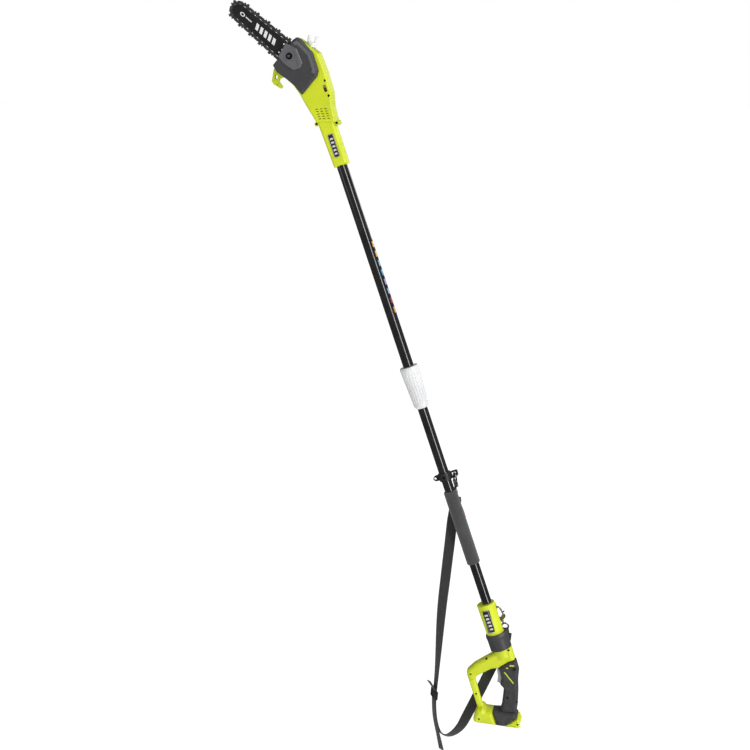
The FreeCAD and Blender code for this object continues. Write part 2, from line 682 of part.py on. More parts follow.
def oil_cap():
    """Filler cap: plug below, round flange and two finger wings above."""
    axis = oil_cap_axis()
    side = Vector(axis.z, 0, -axis.x)
    stem = rod(OIL_CAP_BASE - axis * 15.5, OIL_CAP_BASE + axis * 3, 7.0)
    plug = rod(OIL_CAP_BASE - axis * 7.6, OIL_CAP_BASE + axis * 3, 11.4)
    flange = rod(OIL_CAP_BASE + axis * 3.0, OIL_CAP_BASE + axis * 9, OIL_CAP_R)
    shapes = [stem, plug, flange]
    for sign in (-1, 1):
        foot = OIL_CAP_BASE + side * (sign * 10.5) + axis * 8
        wing = Part.makeBox(8.5, 12, 19, Vector(-4.25, -6, 0))
        wing = wing.makeFillet(2.4, [e for e in wing.Edges if e.CenterOfMass.z > 1])
        wing.rotate(Vector(0, 0, 0), Vector(0, 1, 0), OIL_CAP_TILT)
        wing.translate(foot)
        shapes.append(wing)
    return joined(shapes)


def oil_cap_seal():
    axis = oil_cap_axis()
    outside = rod(OIL_CAP_BASE - axis * 6, OIL_CAP_BASE - axis * 4, 12.0)
    return outside.cut(rod(OIL_CAP_BASE - axis * 7, OIL_CAP_BASE - axis * 3, 11.45))


def sprocket_cover():
    """Cover over the sprocket and the bar's tail, open in front where the chain runs out."""
    outer = pillow(COVER, [(RECESS_Y - 0.05, 0), (-31, 0), (COVER_FACE_Y + 1, 3.5), (COVER_FACE_Y, 6)])
    hollow = pillow(COVER, [(RECESS_Y + 1, 2.5), (-30, 2.5), (COVER_FACE_Y + 2.8, 6)])
    cover = outer.cut(hollow)
    mouth = bar_outline([(5, -40), (40, -40), (40, 38.7), (5, 38.7)])
    cover = cover.cut(slab(mouth, -27, 0))
    x, z = bar_point(0, 0)
    cover = joined([cover, disc(x, z, 9, COVER_FACE_Y + 1, -22.15)])
    return cover.cut(disc(x, z, 4.1, -60, 0))


def clamp_plate():
    plate = pillow(CLAMP_PLATE, [(COVER_FACE_Y, 0), (PLATE_FACE_Y + 1.2, 0), (PLATE_FACE_Y, 1.6)])
    x, z = bar_point(0, 0)
    return plate.cut(disc(x, z, 9.5, -60, 0))


def bar_nut():
    x, z = bar_point(0, 0)
    nut = joined([slab(hexagon(x, z, 7.5), -43.5, -37.5), disc(x, z, 8.8, -37.5, COVER_FACE_Y)])
    return nut.cut(disc(x, z, 4.0, -60, 0))


def bar_stud():
    x, z = bar_point(0, 0)
    return disc(x, z, 3.97, -44.5, -7)


def chain_tensioner():
    """Screw along the bar and the block it draws, whose pin sits in the bar's hole."""
    y = -15.4
    ends = [bar_point(16, -12), bar_point(-18, -12)]
    screw_rod = rod(Vector(ends[0][0], y, ends[0][1]), Vector(ends[1][0], y, ends[1][1]), 1.9)
    block = slab(bar_outline([(-2, -15), (6, -15), (6, -9.2), (-2, -9.2)]), -17.8, -13.05)
    x, z = bar_point(2, -12)
    return joined([screw_rod, block, disc(x, z, 2.5, -21.5, -17)])


def branch_hook(casing):
    """Plastic hook under the cover, for pulling cut branches down."""
    outline = [(-88, 1466, 1), (-99, 1456, 3), (-116, 1427, 3), (-113, 1416, 4), (-97, 1398, 2),
               (-92.5, 1403, 1.5), (-98, 1419, 4), (-93, 1426, 4), (-70, 1426, 1), (-62, 1440, 1)]
    hook = slab(outline, -9, 9)
    slot = [(-101, 1441, 2), (-106, 1431, 2), (-99, 1426, 2), (-93.5, 1436, 2)]
    hook = hook.cut(slab(slot, -20, 20))
    hook = hook.cut(disc(-103, 1411.5, 1.8, -20, -4))
    return hook.cut(casing)


def head_screws():
    return Part.makeCompound([screw(x, z, -22.5, 33) for x, z in HEAD_SCREWS])


def head_label():
    """Raised label plate on the neck, with plain bars in place of lettering."""
    return slab([(-8, 1164, 1), (9, 1164, 1), (9, 1232, 1), (-8, 1232, 1)], -23.3, -22.5)


# ------------------------------------------------------------------ middle of the pole
def strap_bracket():
    """Band round the lower tube with a strap eye in front and a wider loop behind."""
    band = upright(19, BRACKET_LOW, BRACKET_TOP)
    eye = slab([(-16, BRACKET_LOW + 3, 1), (-31, BRACKET_LOW + 4, 7), (-39.5, 167.5, 7),
                (-31, BRACKET_TOP - 3, 7),
                (-16, BRACKET_TOP - 2, 1)], -4, 4)
    loop = slab([(16, BRACKET_TOP - 1, 1), (41.5, BRACKET_TOP, 3), (41, 162, 3), (33, BRACKET_LOW, 3),
                 (16, BRACKET_LOW + 1, 1)], -2.2, 2.2)
    bracket = joined([band, eye, loop])
    bracket = bracket.cut(upright(INNER_TUBE_R + 0.02, 100, 220))
    bracket = bracket.cut(disc(-30.5, 167, 4.2, -20, 20))
    bracket = bracket.cut(slab([(22.5, 161.5, 2), (33.5, 161.5, 2), (35.5, 172.5, 2), (22.5, 172.5, 2)],
                               -20, 20))
    return bracket.cut(disc(0, 166.5, 2.0, -30, 0))


def bracket_screw():
    head = disc(0, 166.5, 3.6, -21.5, -19.05)
    return head.fuse(disc(0, 166.5, 1.95, -19.05, -INNER_TUBE_R - 0.05))


def foam_grip():
    sleeve = upright(FOAM_R, -FOAM_HALF, FOAM_HALF)
    sleeve = sleeve.makeFillet(3.5, [e for e in sleeve.Edges if abs(abs(e.CenterOfMass.z) - FOAM_HALF) < 1])
    return sleeve.cut(upright(INNER_TUBE_R + 0.05, -200, 200))


def power_lead():
    """Outer form of the coiled lead inside the pole."""
    return upright(8, -300, 1200).cut(upright(4.5, -300, 1200))


# ------------------------------------------------------------------ snap hooks and strap
HOOK_WIRE_R = 2.7
HOOK_REACH = 11.5
GATE_TRAVEL = 7.0


def hook_place(shape, top, spin, tilt_in_plane, lean_back):
    """Turns a hook drawn hanging from the origin and moves it to its own ring or eye."""
    placed = shape.copy()
    placed.rotate(Vector(0, 0, 0), Vector(0, 0, 1), spin)
    placed.rotate(Vector(0, 0, 0), Vector(0, 1, 0), tilt_in_plane)
    placed.rotate(Vector(0, 0, 0), Vector(1, 0, 0), lean_back)
    placed.translate(top)
    return placed


def hook_body():
    """Snap hook: bent wire open at one side, shank and the tube the gate slides in."""
    reach = HOOK_REACH
    arc_low = -reach + HOOK_WIRE_R
    path = Part.Wire([
        Part.makeLine(Vector(-reach, 0, -32), Vector(-reach, 0, arc_low)),
        Part.Arc(Vector(-reach, 0, arc_low), Vector(0, 0, arc_low + reach),
                 Vector(reach, 0, arc_low)).toShape(),
        Part.makeLine(Vector(reach, 0, arc_low), Vector(reach, 0, arc_low - 4))])
    profile = Part.Wire(Part.makeCircle(HOOK_WIRE_R, Vector(-reach, 0, -32), Vector(0, 0, 1)))
    wire = path.makePipeShell([profile], True, False)
    yoke = slab([(-reach - 2.7, -30, 2), (-reach - 2.7, -36, 3), (-4, -44, 2), (4, -44, 2),
                 (reach + 4, -38, 3),
                 (reach + 4, -29, 1), (reach - 4, -29, 1), (0, -35, 2), (-reach + 2.7, -30, 1)], -3.6, 3.6)
    shank = Part.makeCylinder(4.2, 9, Vector(0, 0, -50))
    body = joined([wire, yoke, shank])
    return body.cut(Part.makeCylinder(2.35, 12, Vector(reach, 0, -37.5)))


def hook_gate():
    """Spring plunger that closes the hook's mouth, with its thumb stud."""
    pin = Part.makeCylinder(2.25, 17.2, Vector(HOOK_REACH, 0, -30.2))
    stud = Part.makeBox(7.5, 4, 3, Vector(HOOK_REACH + 0.5, -2, -21.0))
    return joined([pin, stud.makeFillet(1.0, [e for e in stud.Edges if e.CenterOfMass.x > HOOK_REACH + 7])])


def hook_eye():
    """Swivel pin and the ring that the webbing is sewn round."""
    pin = Part.makeCylinder(2.8, 5.5, Vector(0, 0, -55.5))
    ring = Part.makeTorus(10.5, 2.6, Vector(0, 0, -67.5), Vector(0, 1, 0))
    return joined([pin, ring])


FRONT_HOOK = (level(30.5, 0, 163.6), -62.0, 0.0, 25.0)
REAR_HOOK = (Vector(13.5, 35.0, -287.6), 0.0, -6.5, 5.0)


def front_hook(shape):
    return hook_place(shape, *FRONT_HOOK)


def rear_hook(shape):
    """The rear hook is drawn in the tool's axes and turned into the level ones."""
    placed = hook_place(shape, *REAR_HOOK)
    placed.rotate(Vector(0, 0, 0), Vector(0, 1, 0), -LEAN)
    return placed


# (x, y, z, twist): twist 0 shows the webbing's face to -y, 90 shows its edge
STRAP_MAIN = [(-20, 37, 84, 0), (-25, 30, 62, 0), (-33, 25, 13, 0), (-39, 25, -55, 0),
              (-46, 26, -121, 5), (-53, 27, -190, 10), (-60, 28, -254, 16), (-66, 29, -330, 28),
              (-70, 30, -400, 42), (-74, 30, -470, 55), (-78, 30, -530, 62), (-83, 30, -585, 62),
              (-81, 30, -640, 60), (-74, 30, -680, 58), (-62, 30, -706, 56), (-42, 30, -714, 48),
              (-20, 31, -703, 36), (3, 33, -678, 22), (18, 36, -646, 10), (33, 37, -613, 3),
              (58, 35, -556, 0), (85, 32, -492, 0), (110, 34, -432, 0), (130, 40, -392, 0),
              (138, 42, -372, 0), (139, 42, -350, 0)]
STRAP_TAIL = [(-101, 27, -527, 30), (-90, 28, -543, 50), (-83.2, 28.8, -557, 61.5),
              (-84.1, 28.8, -572, 62), (-85.1, 28.8, -585, 62), (-83.3, 28.8, -640, 60),
              (-76.4, 28.8, -680, 58), (-67, 28.5, -718, 55), (-58, 28.5, -762, 50)]
ADJUSTER = [(-81.8, 29.4, -558, 62), (-84.0, 29.4, -584, 62)]
RELEASE_TAB = [(-19, 25.5, 70, 0), (-14, 24.0, 62, 0), (-9, 23.5, 52, 0), (-3, 23.5, 36, 0),
               (3, 23.5, 16, 0), (3, 23.5, 2, 0)]


def webbing(points, width, thick):
    """Flat band through hand-placed stations, drawn as straight runs between them."""
    wires = []
    last = len(points) - 1
    for i, (x, y, z, twist) in enumerate(points):
        before = points[max(i - 1, 0)]
        after = points[min(i + 1, last)]
        along = Vector(after[0] - before[0], 0, after[2] - before[2]).normalize()
        flat = Vector(along.z, 0, -along.x)
        angle = math.radians(twist)
        across = flat * math.cos(angle) + Vector(0, 1, 0) * math.sin(angle)
        through = along.cross(across)
        centre = Vector(x, y, z)
        corners = []
        for a, b in ((-1, -1), (1, -1), (1, 1), (-1, 1)):
            corners.append(centre + across * (a * width / 2) + through * (b * thick / 2))
        wires.append(Part.makePolygon(corners + corners[:1]))
    return Part.makeLoft(wires, True, True)


def strap_adjuster():
    """Slide buckle round both layers of the webbing."""
    frame = webbing(ADJUSTER, STRAP_WIDTH + 9, 9.6)
    middle = ADJUSTER[0][2] / 2 + ADJUSTER[1][2] / 2
    window = [(x + (x - (-82.9)) * 1.5, y, middle + (z - middle) * 2.5, twist) for x, y, z,
              twist in ADJUSTER]
    return frame.cut(webbing(window, STRAP_WIDTH + 2.5, 5.6))


# ------------------------------------------------------------------ rear handle
def base_z(x):
    """Height of the battery foot's underside."""
    slope = (BASE_RIGHT[1] - BASE_LEFT[1]) / (BASE_RIGHT[0] - BASE_LEFT[0])
    return BASE_LEFT[1] + slope * (x - BASE_LEFT[0])


BASE_SLOPE = math.atan2(BASE_LEFT[1] - BASE_RIGHT[1], BASE_RIGHT[0] - BASE_LEFT[0])
GUARD = [(30, -398, 8), (-16, -407, 40), (-98, -431, 18), (-128, -447, 12), (-131, -476, 6),
         (-113, -482, 4), (-100, -471, 10), (-51, -459, 20), (-30, -462, 4), (6, -450, 20),
         (29, -448, 6)]
GUARD_BAR = [(-131, -462), (-132, -540, 200), (-132.5, -592), (-113.5, -592), (-113.5, -540, 200),
             (-110, -462)]
BASE_FRONT = [(-132.5, -572, 6), (-152, -597, 10), (-154, -608, 5), (-146, -614, 5), (-88, base_z(-88)),
              (-88, -592), (-108, -584, 8), (-114, -572, 4)]
BASE_MIDDLE = [(-88, -592), (-62, -600, 8), (-24, -614, 12), (-17, -629, 4), (-62, -646, 2),
               (-67, base_z(-67)), (-88, base_z(-88))]
FOOT = [(-17, -629.2, 5), (-62, -646.2, 2), (-66.8, base_z(-66.8)), (-27, base_z(-27), 6), (-14, -649, 7)]
GRIP = [(31, -448.4, 3), (30, -484, 20), (16, -518, 40), (7, -550, 40), (-9, -595, 30), (-20, -618, 6),
        (-60, -612, 8), (-66, -596, 10), (-55, -580, 14), (-41, -549, 30), (-33, -530, 8),
        (-40, -515, 4), (-29, -497, 20), (-27, -462.4, 4), (6, -450.4, 20)]
TRIGGER = [(-24, -466, 2), (-35.5, -468, 3), (-38.5, -486, 30), (-47, -507, 3), (-40, -513, 3),
           (-22, -510, 2)]
# (x, z, head's y): five in the casing, then two in the grip
REAR_SCREWS = [(21, -410, -15.5), (-54, -421, -15.5), (-117, -458, -13.0), (-122, -528, -8.0),
               (-134, -601, -27.0), (-30, -560, -15.0), (-6, -582, -13.5)]
FOOT_SCREW = (-23, -647, -27.0)
SCREW_REACH = 9.0           # how far a handle screw goes past the parting plane
BUTTON = [(14, -478, 3.4), (26, -478, 3.4), (26, -470.5, 3.4), (14, -470.5, 3.4)]


def eased(half, round_off):
    """Levels of a pillow that is symmetric about y = 0, its edges rounded by round_off."""
    steps = [(half, 1.0), (half - round_off * 0.3, 0.42), (half - round_off * 0.65, 0.12),
             (half - round_off, 0.0)]
    near = [(-y, share * round_off * 0.8) for y, share in steps]
    far = [(y, share * round_off * 0.8) for y, share in reversed(steps)]
    return near + far


def rear_neck(margin):
    """Cone that holds the lower tube, or with a margin the spigot and hollow inside it."""
    height = REAR_NECK_TOP - REAR_NECK_LOW
    return Part.makeCone(REAR_NECK_LOW_R - margin, REAR_NECK_TOP_R - margin, height,
                         Vector(NECK_CENTRE_X, 0, REAR_NECK_LOW))


def battery_socket(grow):
    """Blind hole for the battery's stem, square to the underside."""
    block = Part.makeBox(2 * (SOCKET_HALF + grow), 2 * (SOCKET_HALF_Y + grow), SOCKET_DEPTH + 10 + grow,
                         Vector(-SOCKET_HALF - grow, -SOCKET_HALF_Y - grow, -10))
    block.rotate(Vector(0, 0, 0), Vector(0, 1, 0), math.degrees(BASE_SLOPE))
    block.translate(Vector(SOCKET_FOOT_X, 0, base_z(SOCKET_FOOT_X)))
    return block


def trigger_axis():
    angle = math.radians(14.7)
    return Vector(math.cos(angle), 0, -math.sin(angle))


def screw_hole(x, z, head_y):
    """Counterbore from the working side and the shank's hole below it."""
    return joined([disc(x, z, SCREW_HEAD_R + 0.4, -60, head_y + 2.25),
                   disc(x, z, SCREW_SHANK_R + 0.05, head_y, SCREW_REACH + 0.5)])


def rear_casing():
    """Lime shell: neck cone, guard beam, guard bar and the front of the battery foot."""
    guard = pillow(GUARD, eased(GUARD_HALF_Y, 11))
    bar = pillow(GUARD_BAR, eased(GUARD_BAR_HALF_Y, 6))
    base = pillow(BASE_FRONT, eased(BASE_HALF_Y, 12))
    spigot = Part.makeCylinder(SPIGOT_R, 80, Vector(RING_CENTRE_X, 0, REAR_NECK_LOW - 80))
    lug = Part.makeBox(4, 33, 25, Vector(11.5, 12, -295.5))
    lug = lug.makeFillet(7, [e for e in lug.Edges if e.CenterOfMass.y > 44 and abs(e.CenterOfMass.x
                                                                                   - 13.5) < 1])
    lug = lug.cut(rod(Vector(5, 35, -282), Vector(22, 35, -282), 5.5))
    shell = joined([rear_neck(0), spigot, guard, bar, base, lug])
    hollow = pillow(GUARD, [(y * 0.84, depth + REAR_WALL) for y, depth in eased(GUARD_HALF_Y, 11)])
    base_hollow = pillow(BASE_FRONT, [(y * 0.9, depth + REAR_WALL) for y, depth in eased(BASE_HALF_Y, 12)])
    shell = shell.cut(hollow.cut(upright(40, -410, -300))).cut(base_hollow)
    shell = shell.cut(upright(INNER_TUBE_R + 0.03, INNER_TUBE_LOW - 0.5, -200))
    shell = shell.cut(upright(9, -440, -300))
    outside = joined([guard, bar, base])
    for x, z, head_y in REAR_SCREWS[:5]:
        shell = joined([shell, disc(x, z, 5.2, -33, 33).common(outside)])
    for place in REAR_SCREWS[:5]:
        shell = shell.cut(screw_hole(*place))
    return shell


def collar_ring():
    """Charcoal ring between the neck cone and the guard beam."""
    bore = SPIGOT_R + 0.1
    profile = [(bore, REAR_NECK_LOW - 0.1), (32.5, REAR_NECK_LOW - 0.1), (34.5, -356), (34.5, -361),
               (33.2, -365), (33.0, RING_LOW), (bore, RING_LOW)]
    ring = turned(profile, RING_CENTRE_X)
    beam = pillow(inset(GUARD, -0.1), eased(GUARD_HALF_Y + 0.1, 11))
    return ring.cut(beam)


def grip_shell():
    """Charcoal overmould: the grip and the middle of the battery foot."""
    stem = pillow(GRIP, eased(GRIP_HALF_Y, 10))
    middle = pillow(BASE_MIDDLE, eased(BASE_HALF_Y - 0.5, 12))
    shell = joined([stem, middle])
    hollow = pillow([(24, -453, 3), (20, -484, 10), (7, -518, 20), (-2, -550, 20), (-14, -580, 10),
                     (-47, -580, 6),
                     (-33, -549, 20), (-25, -530, 5), (-30, -513, 3), (-20, -497, 10), (-19, -466, 3)],
                    eased(GRIP_HALF_Y - REAR_WALL, 7))
    shell = shell.cut(hollow)
    shell = shell.cut(battery_socket(0))
    steps = [trigger_axis() * float(pull) for pull in range(int(TRIGGER_TRAVEL) + 2)]
    for step in steps:
        shell = shell.cut(slab(inset(moved(TRIGGER, step), -0.5), -7.5, 7.5))
    shell = shell.cut(slab(inset(BUTTON, -0.3), -60, 60))
    for x, z, head_y in REAR_SCREWS[5:]:
        shell = joined([shell, disc(x, z, 5.2, -17, 17).common(stem)])
    for place in REAR_SCREWS[5:]:
        shell = shell.cut(screw_hole(*place))
    for x0, z0, x1, z1, width in ACCENTS:
        shell = shell.cut(accent_bar(x0, z0, x1, z1, width + 0.1))
    return shell


def moved(corners, shift):
    return [(c[0] + shift.x, c[1] + shift.z, corner(c)[2]) for c in corners]


ACCENTS = [(9, -459, 22, -463, 4.2), (-4, -464.5, 2, -466, 3.6), (-13, -476, 3, -518, 3.6)]


def accent_bar(x0, z0, x1, z1, width):
    length = math.hypot(x1 - x0, z1 - z0)
    nx, nz = -(z1 - z0) / length * width / 2, (x1 - x0) / length * width / 2
    return slab([(x0 + nx, z0 + nz, 1), (x1 + nx, z1 + nz, 1), (x1 - nx, z1 - nz, 1),
                 (x0 - nx, z0 - nz, 1)],
                -GRIP_HALF_Y - 0.5, -GRIP_HALF_Y + 1.2)


def grip_accents():
    return Part.makeCompound([accent_bar(*bar) for bar in ACCENTS])


def base_foot():
    foot = pillow(FOOT, eased(BASE_HALF_Y - 1, 10))
    return foot.cut(battery_socket(0)).cut(screw_hole(*FOOT_SCREW))


def trigger():
    return pillow(TRIGGER, [(-7, 1.5), (-5.5, 0), (5.5, 0), (7, 1.5)])


def trigger_spring():
    """Coil spring behind the trigger, its wire drawn with a six-sided section."""
    start = Vector(-22.5, 0, -490) + trigger_axis() * 2
    side = trigger_axis().cross(Vector(0, 1, 0))
    stations = SPRING_TURNS * SPRING_STEPS
    wires = []
    for i in range(stations + 1):
        angle = 2 * math.pi * i / SPRING_STEPS
        outward = side * math.cos(angle) + Vector(0, 1, 0) * math.sin(angle)
        centre = start + outward * SPRING_R + trigger_axis() * (SPRING_LENGTH * i / stations)
        section = []
        for k in range(6):
            around = math.radians(60 * k)
            section.append(centre + outward * (SPRING_WIRE_R * math.cos(around))
                           + trigger_axis() * (SPRING_WIRE_R * math.sin(around)))
        wires.append(Part.makePolygon(section + section[:1]))
    return Part.makeLoft(wires, True, True)


def switch_module():
    body = Part.makeBox(20, 20, 34, Vector(0, -10, -17))
    body = body.makeFillet(1.5, body.Edges)
    lever = Part.makeBox(1.2, 8, 14, Vector(-1.0, -4, -14))
    body = joined([body, lever])
    body.rotate(Vector(0, 0, 0), Vector(0, 1, 0), 14.7)
    body.translate(Vector(-9, 0, -497))
    return body


def lock_off_button():
    return slab(BUTTON, -GRIP_HALF_Y - 2.0, GRIP_HALF_Y + 2.0)


def battery_terminals():
    """Contact block at the head of the battery socket with its three blades."""
    block = Part.makeBox(2 * SOCKET_HALF - 0.6, 2 * SOCKET_HALF_Y - 0.6, 6,
                         Vector(-SOCKET_HALF + 0.3, -SOCKET_HALF_Y + 0.3, SOCKET_DEPTH - 6.2))
    blades = [Part.makeBox(9, 1.0, 10, Vector(-4.5, y - 0.5, SOCKET_DEPTH - 16)) for y in (-8, 0, 8)]
    block = joined([block] + blades)
    block.rotate(Vector(0, 0, 0), Vector(0, 1, 0), math.degrees(BASE_SLOPE))
    block.translate(Vector(SOCKET_FOOT_X, 0, base_z(SOCKET_FOOT_X)))
    return block


def rear_screws():
    places = REAR_SCREWS + [FOOT_SCREW]
    return Part.makeCompound([screw(x, z, head_y, SCREW_REACH - head_y) for x, z, head_y in places])


def rear_label():
    """Curved label plate on the neck cone."""
    skin = rear_neck(-0.8).cut(rear_neck(0))
    frame = slab([(-17, -266, 1), (5, -266, 1), (1.5, -338, 1), (-20.5, -341, 1)], -60, 0)
    return skin.common(frame)


# ------------------------------------------------------------------ writing the pieces
def main():
    save("inner_tube", inner_tube())
    save("outer_tube", outer_tube())
    save("pole_collet", pole_collet())
    save("lock_collar", lock_collar())
    save("pole_label", pole_label())

    casing = head_shell()
    save("head_casing_front", casing.common(half_space(-1)))
    save("head_casing_back", casing.common(half_space(1)))
    save("branch_hook", branch_hook(head_solid(0)))
    for build in (sprocket_cover, clamp_plate, bar_nut, bar_stud, chain_tensioner, guide_bar, nose_sprocket,
                  chain_drive_links, chain_tie_straps, chain_cutters, chain_rivets, drive_sprocket,
                  sprocket_shaft, shaft_bearings, drive_gear, motor_pinion, motor_can, motor_shaft,
                  oil_tank,
                  oil_window, oil_cap, oil_cap_seal, oil_cap_retainer, head_screws, head_label,
                  strap_bracket, bracket_screw, foam_grip, power_lead):
        save(build.__name__, build())

    save("hook_bodies", Part.makeCompound([front_hook(hook_body()), rear_hook(hook_body())]), leaning=False)
    save("hook_eyes", Part.makeCompound([front_hook(hook_eye()), rear_hook(hook_eye())]), leaning=False)
    save("front_hook_gate", front_hook(hook_gate()), leaning=False)
    save("rear_hook_gate", rear_hook(hook_gate()), leaning=False)
    save("strap_main", webbing(STRAP_MAIN, STRAP_WIDTH, STRAP_THICK), leaning=False)
    save("strap_tail", webbing(STRAP_TAIL, STRAP_WIDTH - 2, STRAP_THICK), leaning=False)
    save("strap_adjuster", strap_adjuster(), leaning=False)
    save("release_tab", webbing(RELEASE_TAB, 16, 1.6), leaning=False)

    rear = rear_casing()
    save("rear_casing_front", rear.common(half_space(-1)))
    save("rear_casing_back", rear.common(half_space(1)))
    grip = grip_shell()
    save("grip_front", grip.common(half_space(-1)))
    save("grip_back", grip.common(half_space(1)))
    for build in (collar_ring, base_foot, trigger, trigger_spring, switch_module, lock_off_button,
                  battery_terminals, grip_accents, rear_screws, rear_label):
        save(build.__name__, build())


main()
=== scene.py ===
# %% [markdown]
# # A telescoping pole saw
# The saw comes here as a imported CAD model: every tube, casing, gear, link and screw is a node at its
# real size. This file gives those nodes their finishes and models what CAD leaves plain: webbing,
# foam, the coiled lead, sewing and raised trim. Everything is in metres and in the CAD frame.

# %% Load the frame
import math
import bmesh
import bpy
from mathutils import Matrix, Vector


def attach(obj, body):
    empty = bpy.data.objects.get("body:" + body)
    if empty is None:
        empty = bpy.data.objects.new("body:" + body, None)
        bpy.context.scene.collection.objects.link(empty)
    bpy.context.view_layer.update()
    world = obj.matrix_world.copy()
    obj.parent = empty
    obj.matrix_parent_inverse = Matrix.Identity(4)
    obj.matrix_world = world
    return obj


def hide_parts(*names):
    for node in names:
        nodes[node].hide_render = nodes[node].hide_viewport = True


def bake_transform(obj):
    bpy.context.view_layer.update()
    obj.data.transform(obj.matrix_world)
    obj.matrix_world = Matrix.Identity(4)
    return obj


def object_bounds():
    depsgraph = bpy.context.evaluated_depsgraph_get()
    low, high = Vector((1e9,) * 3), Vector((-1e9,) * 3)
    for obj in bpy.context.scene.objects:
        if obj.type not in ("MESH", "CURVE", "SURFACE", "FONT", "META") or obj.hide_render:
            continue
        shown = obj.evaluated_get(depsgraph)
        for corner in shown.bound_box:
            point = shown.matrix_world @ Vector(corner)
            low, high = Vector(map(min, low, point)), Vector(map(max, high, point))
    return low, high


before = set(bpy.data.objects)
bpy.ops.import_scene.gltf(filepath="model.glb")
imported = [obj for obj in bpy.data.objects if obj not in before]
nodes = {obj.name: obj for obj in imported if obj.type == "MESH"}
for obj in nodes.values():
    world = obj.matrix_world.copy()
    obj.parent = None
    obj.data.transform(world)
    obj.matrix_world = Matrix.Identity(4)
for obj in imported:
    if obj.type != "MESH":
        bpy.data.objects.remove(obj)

cad_low, cad_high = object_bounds()
print("loaded", len(nodes), "nodes, box", [round(x, 3) for x in cad_high - cad_low])

# %% [markdown]
# The pole leans towards the saw, as it does when it hangs from its strap. Two helpers turn
# millimetres into places: `on_tool` takes the tool's own axes, with z up the pole from the fore
# grip, x to the back and -y the side with the bar nut; `plumb` takes the level axes.

# %% Places on the tool
LEAN = math.radians(18.7)
HANDLE = "handle_and_lower_pole"
HEAD = "upper_pole_and_head"
POLE = Vector((-math.sin(LEAN), 0, math.cos(LEAN)))
BACK = Vector((math.cos(LEAN), 0, math.sin(LEAN)))


def on_tool(x, y, z):
    return (BACK * x + Vector((0, y, 0)) + POLE * z) / 1000


def plumb(x, y, z):
    return Vector((x, y, z)) / 1000


# %% [markdown]
# The camera stands about four metres off, a little to the right and above the fore grip, and looks
# slightly down. It is placed from the fore grip, which is the frame's origin.

# %% Camera
VIEW_AZIMUTH = math.radians(11.0)
VIEW_ELEVATION = math.radians(13.5)
camera_data = bpy.data.cameras.new("camera")
camera_data.lens = 64.66
camera_data.sensor_width = 36.0
camera = bpy.data.objects.new("camera", camera_data)
bpy.context.scene.collection.objects.link(camera)
backwards = Vector((math.sin(VIEW_AZIMUTH) * math.cos(VIEW_ELEVATION),
                    -math.cos(VIEW_AZIMUTH) * math.cos(VIEW_ELEVATION), math.sin(VIEW_ELEVATION)))
camera.location = plumb(476.9, -3829.7, 1396.7)
camera.rotation_mode = "QUATERNION"
camera.rotation_quaternion = (-backwards).to_track_quat("-Z", "Y")
bpy.context.scene.camera = camera
bpy.context.scene.view_settings.view_transform = "Standard"
print("camera at", [round(x, 2) for x in camera.location])

# %% [markdown]
# A gloss black tube shows its lights more than its colour. A tall strip light, turned parallel to the
# pole, draws the bright line down the tubes: a short one would be mirrored at one height only. A soft
# sun shapes the rest, and a wide box on the left fills the shade. The sky is white where the camera
# sees it, weaker where it lights the saw, and nearly dark in reflections, so that black parts stay
# black on a white ground. Light Path nodes tell these uses of the sky apart.

# %% Floor, sky and lights
studio = bpy.data.worlds.new("studio")
bpy.context.scene.world = studio
studio.use_nodes = True
sky = studio.node_tree
lighting = sky.nodes["Background"]
lighting.inputs["Color"].default_value = (0.97, 0.98, 1.0, 1.0)
lighting.inputs["Strength"].default_value = 0.30
mirrored = sky.nodes.new("ShaderNodeBackground")
mirrored.inputs["Color"].default_value = (0.97, 0.98, 1.0, 1.0)
mirrored.inputs["Strength"].default_value = 0.10
backdrop = sky.nodes.new("ShaderNodeBackground")
backdrop.inputs["Color"].default_value = (1.0, 1.0, 1.0, 1.0)
backdrop.inputs["Strength"].default_value = 1.0
ray = sky.nodes.new("ShaderNodeLightPath")
unseen = sky.nodes.new("ShaderNodeMixShader")
chooser = sky.nodes.new("ShaderNodeMixShader")
sky.links.new(ray.outputs["Is Glossy Ray"], unseen.inputs[0])
sky.links.new(lighting.outputs[0], unseen.inputs[1])
sky.links.new(mirrored.outputs[0], unseen.inputs[2])
sky.links.new(ray.outputs["Is Camera Ray"], chooser.inputs[0])
sky.links.new(unseen.outputs[0], chooser.inputs[1])
sky.links.new(backdrop.outputs[0], chooser.inputs[2])
sky.links.new(chooser.outputs[0], sky.nodes["World Output"].inputs["Surface"])

FLOOR_GAP = 0.002
bpy.ops.mesh.primitive_plane_add(size=60, location=(0, 20, cad_low.z - FLOOR_GAP))
floor = bpy.context.object
floor.name = "floor"
floor.visible_glossy = False
floor_paint = bpy.data.materials.new("pale_floor")
floor_paint.use_nodes = True
paint_shader = floor_paint.node_tree.nodes["Principled BSDF"]
paint_shader.inputs["Base Color"].default_value = (0.34, 0.34, 0.34, 1)
paint_shader.inputs["Roughness"].default_value = 0.9
paint_shader.inputs["Emission Color"].default_value = (1.0, 1.0, 1.0, 1)
paint_shader.inputs["Emission Strength"].default_value = 0.84
floor.data.materials.append(floor_paint)

TOOL_MIDDLE = Vector((-0.2, 0, 0.45))


def add_light(name, kind, place, energy, tall=(0, 0, 1), **settings):
    """Light that faces the middle of the tool, with its height along the given direction."""
    data = bpy.data.lights.new(name, kind)
    data.energy = energy
    for setting, value in settings.items():
        setattr(data, setting, value)
    away = (Vector(place) - TOOL_MIDDLE).normalized()
    sideways = Vector(tall).cross(away).normalized()
    turn = Matrix((sideways, away.cross(sideways), away)).transposed().to_4x4()
    light = bpy.data.objects.new(name, data)
    light.matrix_world = Matrix.Translation(place) @ turn
    light.visible_camera = False
    bpy.context.scene.collection.objects.link(light)


